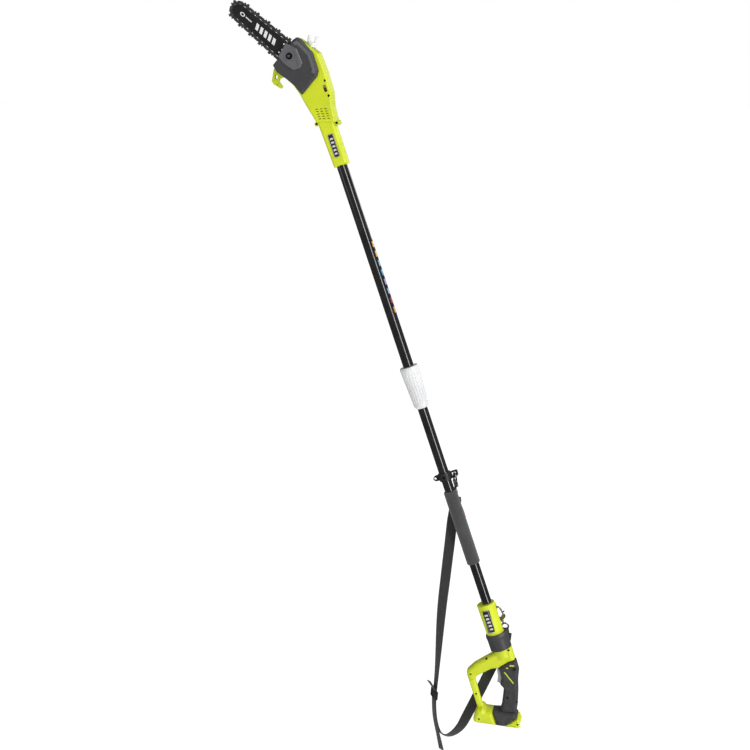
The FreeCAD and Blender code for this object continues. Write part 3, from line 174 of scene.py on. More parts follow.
add_light("soft_sun", "SUN", (3.4, -1.6, 3.6), 1.5, angle=math.radians(14))
add_light("pole_strip", "AREA", (2.05, -2.25, 0.77), 62, tall=POLE, shape="RECTANGLE", size=0.62, size_y=4.2)
add_light("fill_box", "AREA", (-3.6, -2.4, 1.4), 22, shape="RECTANGLE", size=2.2, size_y=3.6)
add_light("back_box", "AREA", (1.6, 3.4, 2.4), 30, shape="RECTANGLE", size=2.4, size_y=2.4)
print("floor, sky and 4 lights")

# %% [markdown]
# ## Finishes
# Each finish is a Principled shader whose colour, roughness and bump come from small node graphs
# on Object coordinates, so a grain has its real size in metres on every piece. `Finish` only saves
# typing: it makes a node, feeds its sockets and gives back what comes out.

# %% A helper for node graphs
class Finish:
    def __init__(self, name, settings):
        self.material = bpy.data.materials.new(name)
        self.material.use_nodes = True
        self.tree = self.material.node_tree
        self.shader = self.tree.nodes["Principled BSDF"]
        for socket, value in settings.items():
            self.shader.inputs[socket].default_value = value
        self.place = self.node("ShaderNodeTexCoord").outputs["Object"]
        self.normal = None

    def feed(self, socket, value):
        if isinstance(value, bpy.types.NodeSocket):
            self.tree.links.new(value, socket)
        else:
            socket.default_value = value

    def node(self, kind, inputs=None, **settings):
        made = self.tree.nodes.new(kind)
        for name, value in settings.items():
            setattr(made, name, value)
        for socket, value in (inputs or {}).items():
            self.feed(made.inputs[socket], value)
        return made

    def math(self, operation, first, second=0.0):
        return self.node("ShaderNodeMath", {0: first, 1: second}, operation=operation).outputs[0]

    def noise(self, scale, detail=3.0, place=None):
        return self.node("ShaderNodeTexNoise", {"Vector": place or self.place, "Scale": scale,
                                                "Detail": detail}).outputs[0]

    def cells(self, scale):
        return self.node("ShaderNodeTexVoronoi", {"Vector": self.place, "Scale": scale}).outputs["Distance"]

    def between(self, value, low, high, to_low=0.0, to_high=1.0):
        """The value's place between low and high, clamped, as a number from to_low to to_high."""
        return self.node("ShaderNodeMapRange", {"Value": value, "From Min": low, "From Max": high,
                                                "To Min": to_low, "To Max": to_high}).outputs[0]

    def mix(self, share, first, second):
        return self.node("ShaderNodeMix", {0: share, 6: first, 7: second}, data_type="RGBA").outputs[2]

    def turned(self, centre, turn=(0, 0, 0)):
        """Coordinates measured from a centre on the piece, along axes turned by turn."""
        return self.node("ShaderNodeMapping", {"Vector": self.place, "Location": centre,
                                               "Rotation": turn}, vector_type="TEXTURE").outputs[0]

    def parts(self, vector):
        return self.node("ShaderNodeSeparateXYZ", {0: vector}).outputs

    def bump(self, height, depth):
        """Adds relief of that depth in metres to what is already there."""
        inputs = {"Height": height, "Distance": depth, "Strength": 1.0}
        if self.normal:
            inputs["Normal"] = self.normal
        self.normal = self.node("ShaderNodeBump", inputs).outputs[0]

    def worn_edges(self, radius, low=0.02, high=0.12):
        """1 on sharp edges and 0 on flats, broken up by noise."""
        rounded = self.node("ShaderNodeBevel", {"Radius": radius}, samples=4).outputs[0]
        true = self.node("ShaderNodeNewGeometry").outputs["Normal"]
        facing = self.node("ShaderNodeVectorMath", {0: rounded, 1: true},
                           operation="DOT_PRODUCT").outputs["Value"]
        edge = self.between(self.math("SUBTRACT", 1.0, facing), low, high)
        return self.math("MULTIPLY", edge, self.between(self.noise(260.0), 0.42, 0.62))

    def done(self, colour, roughness=None):
        self.feed(self.shader.inputs["Base Color"], colour)
        if roughness is not None:
            self.feed(self.shader.inputs["Roughness"], roughness)
        if self.normal:
            self.feed(self.shader.inputs["Normal"], self.normal)
        return self.material


def tone(red, green, blue):
    return red, green, blue, 1.0


# %% [markdown]
# ### Moulded plastics
# Moulded nylon has a spark-eroded texture, fine and even, a slightly uneven sheen from handling, and
# corners that polish lighter. One function makes all of them, and only the numbers differ.

# %% Plastics
def moulded(name, dark, light, worn, rough, settings=None):
    finish = Finish(name, settings or {})
    cloud = finish.between(finish.noise(9.0, 4.0), 0.35, 0.65)
    colour = finish.mix(cloud, tone(*dark), tone(*light))
    fleck = finish.between(finish.noise(2200.0, 1.0), 0.62, 0.8, 0.0, 0.25)
    colour = finish.mix(fleck, colour, tone(*worn))
    colour = finish.mix(finish.worn_edges(0.0009), colour, tone(*worn))
    scuff = finish.noise(34.0, 6.0)
    finish.bump(finish.noise(1500.0, 2.0), 0.00004)
    return finish.done(colour, finish.between(scuff, 0.3, 0.7, rough - 0.07, rough + 0.09))


lime = moulded("lime_nylon", (0.53, 0.61, 0.009), (0.60, 0.68, 0.013), (0.78, 0.84, 0.16), 0.40)
charcoal = moulded("charcoal_nylon", (0.040, 0.040, 0.042), (0.056, 0.056, 0.058), (0.15, 0.15, 0.15), 0.46)
mid_grey = moulded("mid_grey_nylon", (0.095, 0.096, 0.10), (0.125, 0.126, 0.13), (0.24, 0.24, 0.25), 0.42)
trigger_grey = moulded("trigger_grey_nylon", (0.30, 0.30, 0.31), (0.36, 0.36, 0.37), (0.5, 0.5, 0.5), 0.42)
black_nylon = moulded("black_nylon", (0.012, 0.012, 0.013), (0.02, 0.02, 0.021), (0.09, 0.09, 0.09), 0.38)
collar_nylon = moulded("pale_nylon", (0.58, 0.585, 0.59), (0.68, 0.68, 0.685), (0.90, 0.90, 0.90), 0.45,
                       settings={"Subsurface Weight": 0.12, "Subsurface Radius": (0.004, 0.004, 0.004)})
cap_nylon = moulded("natural_nylon", (0.80, 0.81, 0.84), (0.90, 0.91, 0.93), (0.95, 0.95, 0.96), 0.30,
                    settings={"Subsurface Weight": 0.35, "Subsurface Radius": (0.006, 0.006, 0.007)})
tank_plastic = moulded("tank_polythene", (0.66, 0.64, 0.55), (0.74, 0.72, 0.64), (0.82, 0.8, 0.74), 0.35,
                       settings={"Subsurface Weight": 0.3, "Subsurface Radius": (0.006, 0.005, 0.004)})
print("plastics made")

# %% [markdown]
# The overmould on the grip is softer: a pebbled skin of about a millimetre, duller in the hollows and
# polished on the crowns where the palm rubs.

# %% Overmould, seals and lead
def rubbery(name, dark, light, pebble, depth, rough):
    finish = Finish(name, {"Specular IOR Level": 0.35})
    cell = finish.cells(pebble)
    colour = finish.mix(finish.between(cell, 0.1, 0.6), tone(*light), tone(*dark))
    dust = finish.between(finish.noise(60.0, 6.0), 0.5, 0.75, 0.0, 0.35)
    colour = finish.mix(dust, colour, tone(*[x * 1.7 for x in light]))
    finish.bump(cell, -depth)
    finish.bump(finish.noise(pebble * 4, 1.0), depth * 0.25)
    return finish.done(colour, finish.between(finish.noise(25.0), 0.3, 0.7, rough - 0.06, rough + 0.08))


overmould = rubbery("grip_overmould", (0.036, 0.036, 0.038), (0.060, 0.060, 0.062), 900.0, 0.00018, 0.62)
seal_rubber = rubbery("seal_rubber", (0.010, 0.010, 0.010), (0.02, 0.02, 0.02), 1800.0, 0.00005, 0.5)
lead_rubber = rubbery("lead_sheath", (0.012, 0.012, 0.012), (0.024, 0.024, 0.024), 1500.0, 0.00006, 0.45)

# %% [markdown]
# Closed-cell foam shows thousands of tiny cut bubbles, so its bump is a cell pattern of two sizes and
# its shader has almost no gloss, with a little sheen that greys the turning edge.

# %% Foam
def foam_finish():
    finish = Finish("closed_cell_foam", {"Specular IOR Level": 0.25, "Sheen Weight": 0.35,
                                         "Sheen Roughness": 0.5})
    small = finish.cells(1500.0)
    large = finish.cells(520.0)
    pores = finish.math("MINIMUM", small, large)
    colour = finish.mix(finish.between(pores, 0.05, 0.45), tone(0.022, 0.022, 0.023), tone(0.052, 0.052, 0.054))
    worn = finish.between(finish.noise(14.0, 5.0), 0.45, 0.75, 0.0, 0.5)
    colour = finish.mix(worn, colour, tone(0.075, 0.075, 0.077))
    finish.bump(pores, 0.0004)
    finish.bump(finish.noise(90.0, 3.0), 0.0006)
    return finish.done(colour, finish.between(finish.noise(40.0), 0.3, 0.7, 0.78, 0.92))


foam = foam_finish()

# %% [markdown]
# ### Metals
# The tubes are powder coated, so they have a clear gloss over a faint orange peel, fine scratches
# along the pole and a few dull handling marks. The scratches are a noise squeezed sideways and drawn
# out along the pole by a Mapping node turned to the lean.

# %% Gloss black tube
def tube_finish():
    finish = Finish("gloss_powder_coat", {"Coat Weight": 1.0, "Coat Roughness": 0.09, "IOR": 1.5})
    along = finish.node("ShaderNodeMapping", {"Vector": finish.place, "Rotation": (0, LEAN, 0),
                                              "Scale": (420.0, 420.0, 9.0)}).outputs[0]
    scratch = finish.between(finish.noise(1.0, 2.0, along), 0.66, 0.72)
    colour = finish.mix(finish.between(finish.noise(30.0), 0.3, 0.7), tone(0.006, 0.006, 0.007),
                        tone(0.014, 0.014, 0.015))
    colour = finish.mix(finish.math("MULTIPLY", scratch, 0.35), colour, tone(0.08, 0.08, 0.08))
    smear = finish.between(finish.noise(18.0, 5.0), 0.4, 0.75, 0.13, 0.26)
    finish.bump(finish.noise(700.0, 1.0), 0.00002)
    finish.bump(scratch, -0.00001)
    return finish.done(colour, smear)


tube_black = tube_finish()

# %% [markdown]
# Steel parts share one function: a brushed grain, drawn out in one direction, oil or dust in
# patches, and brighter edges. Zinc, case-hardened chain and black oxide differ in tone.

# %% Steels
def steel(name, dark, light, rough, grime):
    finish = Finish(name, {"Metallic": 1.0})
    drawn = finish.node("ShaderNodeMapping", {"Vector": finish.place, "Scale": (900.0, 900.0, 60.0)}).outputs[0]
    brushed = finish.noise(1.0, 3.0, drawn)
    colour = finish.mix(finish.between(brushed, 0.3, 0.7), tone(*dark), tone(*light))
    stain = finish.between(finish.noise(120.0, 5.0), 0.48, 0.7, 0.0, grime)
    colour = finish.mix(stain, colour, tone(*[x * 0.35 for x in dark]))
    colour = finish.mix(finish.worn_edges(0.0004), colour, tone(*[min(1, x * 1.4) for x in light]))
    finish.bump(brushed, 0.00001)
    return finish.done(colour, finish.math("ADD", finish.between(brushed, 0.2, 0.8, rough - 0.08, rough + 0.08),
                                           finish.math("MULTIPLY", stain, 0.5)))


zinc = steel("zinc_plate", (0.50, 0.50, 0.52), (0.68, 0.68, 0.70), 0.28, grime=0.2)
hook_steel = steel("hook_steel", (0.20, 0.19, 0.20), (0.36, 0.35, 0.36), 0.25, grime=0.25)
chain_steel = steel("chain_steel", (0.20, 0.195, 0.19), (0.34, 0.33, 0.32), 0.34, grime=0.5)
cutter_steel = steel("cutter_chrome", (0.34, 0.335, 0.33), (0.50, 0.49, 0.48), 0.26, grime=0.35)
gear_steel = steel("gear_steel", (0.30, 0.30, 0.31), (0.42, 0.42, 0.43), 0.32, grime=0.4)
black_oxide = steel("black_oxide", (0.035, 0.035, 0.038), (0.06, 0.06, 0.065), 0.36, grime=0.2)
print("metals made")

# %% [markdown]
# ### Print
# The real saw carries lettering in several places. None of it is copied: where it stands, plain
# slanted bars and blocks keep the balance of light and dark. A bar pattern is a few numbers compared
# in the piece's own turned coordinates, so it stays put when the piece moves.

# %% Printed patterns
def strip(finish, value, low, high, soft=0.0003):
    """1 where the value lies between low and high, with an edge of that softness."""
    rising = finish.between(value, low - soft, low + soft)
    falling = finish.between(value, high - soft, high + soft, 1.0, 0.0)
    return finish.math("MULTIPLY", rising, falling)


def bars(finish, value, start, step, share):
    """1 on bars that repeat every step from start and fill that share of it."""
    phase = finish.math("FRACT", finish.math("DIVIDE", finish.math("SUBTRACT", value, start), step))
    return strip(finish, phase, 0.0, share, 0.02)


def both(finish, *masks):
    share = masks[0]
    for mask in masks[1:]:
        share = finish.math("MULTIPLY", share, mask)
    return share


def either(finish, *masks):
    share = masks[0]
    for mask in masks[1:]:
        share = finish.math("MAXIMUM", share, mask)
    return share


# %% [markdown]
# The guide bar is steel under black baked paint. Its print is a row of slanted pale bars, with a thin
# rule and a ring towards the nose. The paint is chipped along the rails, where the chain runs.

# %% Guide bar
BAR_NUT = on_tool(-36.5, -20, 1474)
BAR_TURN = LEAN + math.radians(31.6)


def bar_finish():
    finish = Finish("guide_bar_paint", {"Coat Weight": 0.25, "Coat Roughness": 0.2})
    across, _, down = finish.parts(finish.turned(BAR_NUT, (0, -math.pi / 2 - BAR_TURN, 0)))
    slanted = finish.math("ADD", across, finish.math("MULTIPLY", down, 0.35))
    blocks = both(finish, bars(finish, slanted, 0.058, 0.0155, 0.62), strip(finish, slanted, 0.0578, 0.1343),
                  strip(finish, down, -0.0085, 0.0085))
    rule = both(finish, strip(finish, across, 0.146, 0.168), strip(finish, down, -0.0016, 0.0012))
    ahead = finish.math("POWER", finish.math("SUBTRACT", across, 0.180), 2.0)
    aside = finish.math("POWER", finish.math("MULTIPLY", down, 1.5), 2.0)
    ring = strip(finish, finish.math("SQRT", finish.math("ADD", ahead, aside)), 0.0048, 0.0080)
    print_mask = either(finish, blocks, rule, ring)
    wear = finish.between(finish.noise(180.0, 6.0), 0.60, 0.70)
    left = finish.math("SUBTRACT", 1.0, finish.math("MULTIPLY", wear, 0.7))
    print_mask = finish.math("MULTIPLY", print_mask, left)
    paint = finish.mix(finish.between(finish.noise(40.0), 0.3, 0.7), tone(0.007, 0.007, 0.007),
                       tone(0.014, 0.014, 0.014))
    colour = finish.mix(print_mask, paint, tone(0.74, 0.74, 0.73))
    bare = finish.worn_edges(0.0012, 0.05, 0.3)
    colour = finish.mix(bare, colour, tone(0.42, 0.41, 0.40))
    finish.feed(finish.shader.inputs["Metallic"], finish.math("MULTIPLY", bare, 0.9))
    finish.bump(finish.noise(800.0, 2.0), 0.00002)
    return finish.done(colour, finish.between(finish.noise(25.0, 4.0), 0.3, 0.7, 0.34, 0.50))


guide_bar_paint = bar_finish()

# %% [markdown]
# The two label plates are printed film: black, with a thin pale frame and a column of pale blocks.

# %% Label plates
def label_finish(name, centre, turn, half_wide, half_long):
    finish = Finish(name, {"Coat Weight": 0.5, "Coat Roughness": 0.15})
    wide, _, long_way = finish.parts(finish.turned(centre, turn))
    wide = finish.math("ABSOLUTE", wide)
    slanted = finish.math("ADD", long_way, finish.math("MULTIPLY", wide, 0.25))
    height = finish.math("ABSOLUTE", long_way)
    frame_line = either(finish, strip(finish, wide, half_wide - 0.0016, half_wide - 0.0008, 0.0001),
                        strip(finish, height, half_long - 0.0016, half_long - 0.0008, 0.0001))
    blocks = both(finish, bars(finish, slanted, -half_long * 0.76, half_long * 0.32, 0.50),
                  strip(finish, height, -1.0, half_long * 0.76), strip(finish, wide, -1.0, half_wide * 0.48))
    printed = either(finish, frame_line, blocks)
    film = finish.mix(finish.noise(60.0), tone(0.012, 0.012, 0.012), tone(0.022, 0.022, 0.022))
    finish.bump(printed, 0.00004)
    finish.bump(finish.noise(1400.0), 0.00001)
    return finish.done(finish.mix(printed, film, tone(0.60, 0.59, 0.58)),
                       finish.between(finish.noise(40.0), 0.3, 0.7, 0.25, 0.36))


head_label = label_finish("head_label_film", on_tool(0.5, -23, 1198), (0, -LEAN, 0), 0.0085, 0.034)
rear_label = label_finish("rear_label_film", on_tool(-7.8, -28, -303), (0, -LEAN + math.radians(-2.7), 0),
                          0.0110, 0.0365)

# %% [markdown]
# The film round the outer tube is printed in coloured patches, each on a dark ground. A ramp of
# constant steps along the pole picks the colour, and a strip mask cuts the patches apart.

# %% Pole label
PATCHES = [(0.90, 0.47, 0.08), (0.90, 0.50, 0.10), (0.20, 0.52, 0.80), (0.16, 0.45, 0.72), (0.42, 0.42, 0.78),
           (0.34, 0.50, 0.78), (0.42, 0.05, 0.12), (0.85, 0.42, 0.08)]
LABEL_LOW = 0.678
LABEL_HIGH = 0.908


def patch_finish():
    finish = Finish("pole_label_film", {"Coat Weight": 0.6, "Coat Roughness": 0.08})
    along = finish.parts(finish.turned((0, 0, 0), (0, -LEAN, 0)))[2]
    share = finish.between(along, LABEL_HIGH, LABEL_LOW)
    ramp = finish.node("ShaderNodeValToRGB", {0: share})
    ramp.color_ramp.interpolation = "CONSTANT"
    while len(ramp.color_ramp.elements) < len(PATCHES):
        ramp.color_ramp.elements.new(0.5)
    for index, patch in enumerate(PATCHES):
        ramp.color_ramp.elements[index].position = index / len(PATCHES)
        ramp.color_ramp.elements[index].color = tone(*patch)
    cut = bars(finish, share, 0.02, 1 / len(PATCHES), 0.62)
    picture = finish.between(finish.noise(260.0, 2.0), 0.40, 0.62, 0.55, 1.0)
    colour = finish.mix(finish.math("MULTIPLY", cut, picture), tone(0.012, 0.012, 0.013), ramp.outputs[0])
    finish.bump(cut, 0.00003)
    return finish.done(colour, finish.between(finish.noise(50.0), 0.3, 0.7, 0.18, 0.28))


pole_label = patch_finish()
print("print made")

# %% [markdown]
# ### Webbing
# Polyester webbing is a flat weave: fat ribs across the band, each crossed by warp threads, with a
# firm selvedge. The piece carries its own UV map in metres, u across and v along, so the weave
# follows the band through every twist.

# %% Webbing
def webbing_finish(name, dark, light, width):
    finish = Finish(name, {"Specular IOR Level": 0.3, "Sheen Weight": 0.25, "Sheen Roughness": 0.4})
    uv = finish.node("ShaderNodeUVMap", uv_map="weave").outputs[0]
    across, along, _ = finish.parts(uv)
    rows = finish.math("SINE", finish.math("MULTIPLY", along, 2 * math.pi / 0.0017))
    warps = finish.math("SINE", finish.math("MULTIPLY", across, 2 * math.pi / 0.0013))
    weave = finish.math("MULTIPLY", rows, warps)
    thread = finish.noise(1.0, 3.0, finish.node("ShaderNodeVectorMath", {0: uv, 1: (900.0, 2600.0, 1.0)},
                                                operation="MULTIPLY").outputs[0])
    colour = finish.mix(finish.between(weave, -0.8, 0.9), tone(*dark), tone(*light))
    colour = finish.mix(finish.between(thread, 0.45, 0.75, 0.0, 0.35), colour, tone(*[x * 1.8 for x in light]))
    edge = finish.between(finish.math("ABSOLUTE", across), width / 2 - 0.0028, width / 2 - 0.0020)
    colour = finish.mix(finish.math("MULTIPLY", edge, 0.4), colour, tone(*[x * 1.5 for x in light]))
    finish.bump(weave, 0.00022)
    finish.bump(thread, 0.0001)
    return finish.done(colour, finish.between(thread, 0.3, 0.7, 0.62, 0.82))


STRAP_WIDTH = 0.032
TAIL_WIDTH = 0.030
TAB_WIDTH = 0.016
strap_weave = webbing_finish("strap_webbing", (0.022, 0.022, 0.023), (0.050, 0.050, 0.052), STRAP_WIDTH)
red_weave = webbing_finish("red_webbing", (0.30, 0.015, 0.02), (0.55, 0.045, 0.06), TAB_WIDTH)

# %% [markdown]
# The oil window is clear plastic with brown bar oil standing behind it, a little short of the top. The
# brown is painted darker towards the bottom of the window, as painted shade where less light reaches the oil.

# %% Oil window
def window_finish():
    finish = Finish("oil_window_clear", {"Coat Weight": 1.0, "Coat Roughness": 0.03, "IOR": 1.49})
    height = finish.parts(finish.turned(on_tool(30, -26, 1357), (0, 0, 0)))[2]
    ripple = finish.math("MULTIPLY", finish.noise(300.0), 0.0008)
    above_oil = finish.between(finish.math("ADD", height, ripple), 0.0026, 0.0034)
    # painted shade: the oil's brown is darker towards the bottom of the window and lighter near its surface
    depth = finish.between(height, -0.012, 0.004)
    brown = finish.mix(depth, tone(0.030, 0.012, 0.004), tone(0.085, 0.036, 0.010))
    return finish.done(finish.mix(above_oil, brown, tone(0.20, 0.19, 0.13)),
                       finish.between(finish.noise(200.0), 0.3, 0.7, 0.06, 0.14))


oil_window = window_finish()

# %% [markdown]
# Each CAD node now gets its finish. A CAD node's mesh is never changed; only its slot is filled.

# %% Finishes on the CAD nodes
FINISHES = {
    "inner_tube outer_tube": tube_black,
    "head_casing_front head_casing_back branch_hook": lime,
    "rear_casing_front rear_casing_back base_foot grip_accents": lime,
    "sprocket_cover collar_ring": charcoal,
    "grip_front grip_back": overmould,
    "clamp_plate": mid_grey,
    "trigger": trigger_grey,
    "lock_collar": collar_nylon,
    "pole_collet oil_cap oil_cap_retainer": cap_nylon,
    "strap_bracket strap_adjuster lock_off_button switch_module battery_terminals": black_nylon,
    "foam_grip": foam,
    "guide_bar": guide_bar_paint,
    "chain_drive_links chain_tie_straps chain_rivets nose_sprocket drive_sprocket": chain_steel,
    "chain_cutters": cutter_steel,
    "bar_stud chain_tensioner trigger_spring sprocket_shaft shaft_bearings motor_shaft": zinc,
    "hook_bodies hook_eyes front_hook_gate rear_hook_gate": hook_steel,
    "bar_nut head_screws rear_screws bracket_screw": black_oxide,
    "drive_gear motor_pinion motor_can": gear_steel,
    "oil_tank": tank_plastic,
    "oil_window": oil_window,
    "oil_cap_seal": seal_rubber,
    "head_label": head_label,
    "rear_label": rear_label,
    "pole_label": pole_label,
    "power_lead": lead_rubber,
    "strap_main strap_tail": strap_weave,
    "release_tab": red_weave,
}
for names, material in FINISHES.items():
    for name in names.split():
        nodes[name].data.materials.clear()
        nodes[name].data.materials.append(material)
print("finishes on", sum(len(names.split()) for names in FINISHES), "nodes")

# %% [markdown]
# ## Webbing, foam and lead
# The shoulder strap is one flat band that turns its edge and its face to us in turn. Its middle line
# is a smooth NURBS curve through a few chosen places, and a second curve of the same kind runs along
# one edge, so at every step the pair says where the band is and how it is turned.

# %% Smooth lines
def smooth_line(name, places):
    """Points along a smooth curve that the places pull into shape."""
    data = bpy.data.curves.new(name, "CURVE")
    data.dimensions = "3D"
    data.resolution_u = 10
    spline = data.splines.new("NURBS")
    spline.points.add(len(places) - 1)
    for point, place in zip(spline.points, places):
        point.co = (*place, 1.0)
    spline.order_u = 3
    spline.use_endpoint_u = True
    holder = bpy.data.objects.new(name, data)
    bpy.context.scene.collection.objects.link(holder)
    line = bpy.data.meshes.new_from_object(holder)
    points = [vertex.co.copy() for vertex in line.vertices]
    bpy.data.objects.remove(holder)
    bpy.data.meshes.remove(line)
    bpy.data.curves.remove(data)
    return points


def distances_along(points):
    """How far each point lies from the first, along the line."""
    distances = [0.0]
    for before, after in zip(points, points[1:]):
        distances.append(distances[-1] + (after - before).length)
    return distances


def new_piece(name, grid):
    """Object made of a finished mesh under construction."""
    mesh = bpy.data.meshes.new(name)
    grid.to_mesh(mesh)
    grid.free()
    piece = bpy.data.objects.new(name, mesh)
    bpy.context.scene.collection.objects.link(piece)
    return piece


def give(piece, finish, body):
    """Finish, material slot and body of a new piece."""
    piece.data.materials.clear()
    piece.data.materials.append(finish)
    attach(piece, body)


# %% [markdown]
# A band's section is a flat lozenge with rounded selvedges, a little thicker in the middle. It is
# swept along the two lines in mesh code, because only that keeps the section square to the band and
# lays a UV map in metres, u across and v along, for the weave to follow.

# %% The band
BAND_SECTION = [(-1.0, 0.0), (-0.95, 0.46), (-0.55, 0.54), (0.0, 0.57), (0.55, 0.54), (0.95, 0.46), (1.0, 0.0),
                (0.95, -0.46), (0.55, -0.54), (0.0, -0.57), (-0.55, -0.54), (-0.95, -0.46)]


def frame_of(centres, edges, index):
    """Direction across the band and out of its face at one step."""
    before = centres[max(index - 1, 0)]
    after = centres[min(index + 1, len(centres) - 1)]
    along = (after - before).normalized()
    across = edges[index] - centres[index]
    across = (across - along * across.dot(along)).normalized()
    return along, across, along.cross(across)


def band(name, centres, edges, width, thick):
    grid = bmesh.new()
    weave = grid.loops.layers.uv.new("weave")
    rings = []
    distances = distances_along(centres)
    for index, centre in enumerate(centres):
        _, across, out = frame_of(centres, edges, index)
        rings.append([grid.verts.new(centre + across * (a * width / 2) + out * (b * thick))
                      for a, b in BAND_SECTION])
    count = len(BAND_SECTION)
    for index in range(len(rings) - 1):
        for side in range(count):
            following = (side + 1) % count
            face = grid.faces.new((rings[index][side], rings[index][following],
                                   rings[index + 1][following], rings[index + 1][side]))
            face.smooth = True
            places = ((side, index), (following, index), (following, index + 1), (side, index + 1))
            for loop, (column, row) in zip(face.loops, places):
                loop[weave].uv = (BAND_SECTION[column][0] * width / 2, distances[row])
    grid.faces.new(list(reversed(rings[0])))
    grid.faces.new(rings[-1])
    bmesh.ops.recalc_face_normals(grid, faces=grid.faces)
    return new_piece(name, grid)


def turned_line(name, stations, width):
    """Middle and edge lines of a band from (x, y, z, twist) stations, in millimetres and degrees."""
    edge_places = []
    last = len(stations) - 1
    for index, (x, y, z, twist) in enumerate(stations):
        before = stations[max(index - 1, 0)]
        after = stations[min(index + 1, last)]
        along = Vector((after[0] - before[0], 0, after[2] - before[2])).normalized()
        flat = Vector((along.z, 0, -along.x))
        across = flat * math.cos(math.radians(twist)) + Vector((0, math.sin(math.radians(twist)), 0))
        edge_places.append(plumb(x, y, z) + across * width / 2)
    centres = smooth_line(name + "_line", [plumb(*station[:3]) for station in stations])
    return centres, smooth_line(name + "_edge", edge_places)


# %% Strap and its tail
STRAP_MAIN = [(-21, 36.5, 84, -50), (-22, 33.5, 74, -20), (-25, 30, 60, 0), (-33, 25, 13, 0),
              (-39, 25, -55, 0), (-46, 26, -121, 5), (-53, 27, -190, 10), (-60, 28, -254, 16),
              (-66, 29, -330, 28), (-70, 30, -400, 42), (-74, 30, -470, 55), (-78, 30, -530, 62),
              (-83, 30, -585, 62), (-81, 30, -640, 60), (-74, 30, -680, 58), (-62, 30, -706, 56),
              (-42, 30, -714, 48), (-20, 31, -703, 36), (3, 33, -678, 22), (18, 36, -646, 10),
              (33, 37, -613, 3), (58, 35, -556, 0), (85, 32, -492, 0), (110, 34, -432, 0),
              (130, 40, -392, 0), (138, 42, -372, 0), (139, 42, -350, 0)]
STRAP_TAIL = [(-101, 27, -527, 56), (-90, 28, -543, 58), (-83.2, 28.8, -557, 61.5), (-84.1, 28.8, -572, 62),
              (-85.1, 28.8, -585, 62), (-83.3, 28.8, -640, 60), (-76.4, 28.8, -680, 58), (-67, 28.5, -718, 55),
              (-58, 28.5, -762, 50)]
STRAP_THICK = 0.0018

strap_centres, strap_edges = turned_line("strap", STRAP_MAIN, STRAP_WIDTH)
strap = band("shoulder_strap", strap_centres, strap_edges, STRAP_WIDTH, STRAP_THICK)
give(strap, strap_weave, HANDLE)
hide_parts("strap_main")

tail_centres, tail_edges = turned_line("tail", STRAP_TAIL, TAIL_WIDTH)
tail = band("strap_loose_end", tail_centres, tail_edges, TAIL_WIDTH, STRAP_THICK)
give(tail, strap_weave, HANDLE)
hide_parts("strap_tail")
strap_length = distances_along(strap_centres)[-1]
tail_length = distances_along(tail_centres)[-1]
print("strap", round(strap_length, 3), "m, loose end", round(tail_length, 3), "m")

# %% [markdown]
# Each end of the strap is sewn to a narrower loop that goes round the wire of the snap hook's ring.
# The loop is a band too: up one face of the strap, through the ring, and down the other face.

# %% Loops through the rings
LOOP_WIDTH = 0.0135
LOOP_THICK = 0.0014
LOOP_REACH = 4.1       # from the middle of the wire to the middle of the webbing, in millimetres


def ring_loop(name, wire, side, outward, width_way, foot):
    """Loop round a ring's wire: side points out of the ring's plane, outward away from its middle."""
    reach = LOOP_REACH
    low = wire + outward * 14
    places = [foot - side * 1.9, low - side * 2.2, wire + outward * 6 - side * 3.3, wire - side * reach,
              wire - (outward + side * 0.7) * reach, wire - (outward - side * 0.7) * reach, wire + side * reach,
              wire + outward * 6 + side * 3.3, low + side * 2.2, foot + side * 1.9]
    centres = smooth_line(name + "_line", [place / 1000 for place in places])
    edges = smooth_line(name + "_edge", [(place + width_way * 7) / 1000 for place in places])
    piece = band(name, centres, edges, LOOP_WIDTH, LOOP_THICK)
    give(piece, strap_weave, HANDLE)
    return piece


front_loop = ring_loop("front_ring_loop", Vector((-23.56, 33.0, 94.1)), Vector((0.883, 0.425, 0.198)),
                       Vector((0, 0.43, -0.905)), Vector((-0.470, 0.799, 0.380)),
                       Vector((-22.0, 36.6, 72.0)))
rear_loop = ring_loop("rear_ring_loop", Vector((138.1, 41.8, -338.4)), Vector((-0.028, 0.996, 0.083)),
                      Vector((0.2, 0.05, -0.978)), Vector((-0.909, 0.010, -0.425)),
                      Vector((138.5, 42.0, -366.0)))
print("loops sewn through both hook rings")

# %% [markdown]
# The red release tab is a short length of narrow webbing behind the foam grip.

# %% Release tab
RELEASE_TAB = [(-19, 25.5, 70, 0), (-14, 24.0, 62, 0), (-9, 23.5, 52, 0), (-3, 23.5, 36, 0), (3, 23.5, 16, 0),
               (3, 23.5, 2, 0)]
TAB_THICK = 0.0016
tab = band("red_release_tab", *turned_line("tab", RELEASE_TAB, TAB_WIDTH), TAB_WIDTH, TAB_THICK)
give(tab, red_weave, HANDLE)
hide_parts("release_tab")

# %% [markdown]
# The sewing is real thread: short rounded dashes in rows, each a copy of one bevelled block, laid on
# the band's face. A box of rows holds each loop to the strap, and a hem closes the loose end.

# %% Stitches
STITCH_SIZE = (0.0005, 0.0024, 0.0004)
STITCH_PITCH = 0.0038
STITCH_LIFT = 0.0011       # of a stitch above the band's middle
bpy.ops.object.select_all(action="DESELECT")
bpy.ops.mesh.primitive_cube_add(size=1)
dash = bpy.context.object
dash.scale = STITCH_SIZE
bpy.ops.object.transform_apply(scale=True)
bpy.ops.object.mode_set(mode="EDIT")
bpy.ops.mesh.select_all(action="SELECT")
bpy.ops.mesh.bevel(offset=0.00018, segments=2, affect="EDGES")
bpy.ops.object.mode_set(mode="OBJECT")
dash_mesh = dash.data
bpy.data.objects.remove(dash)


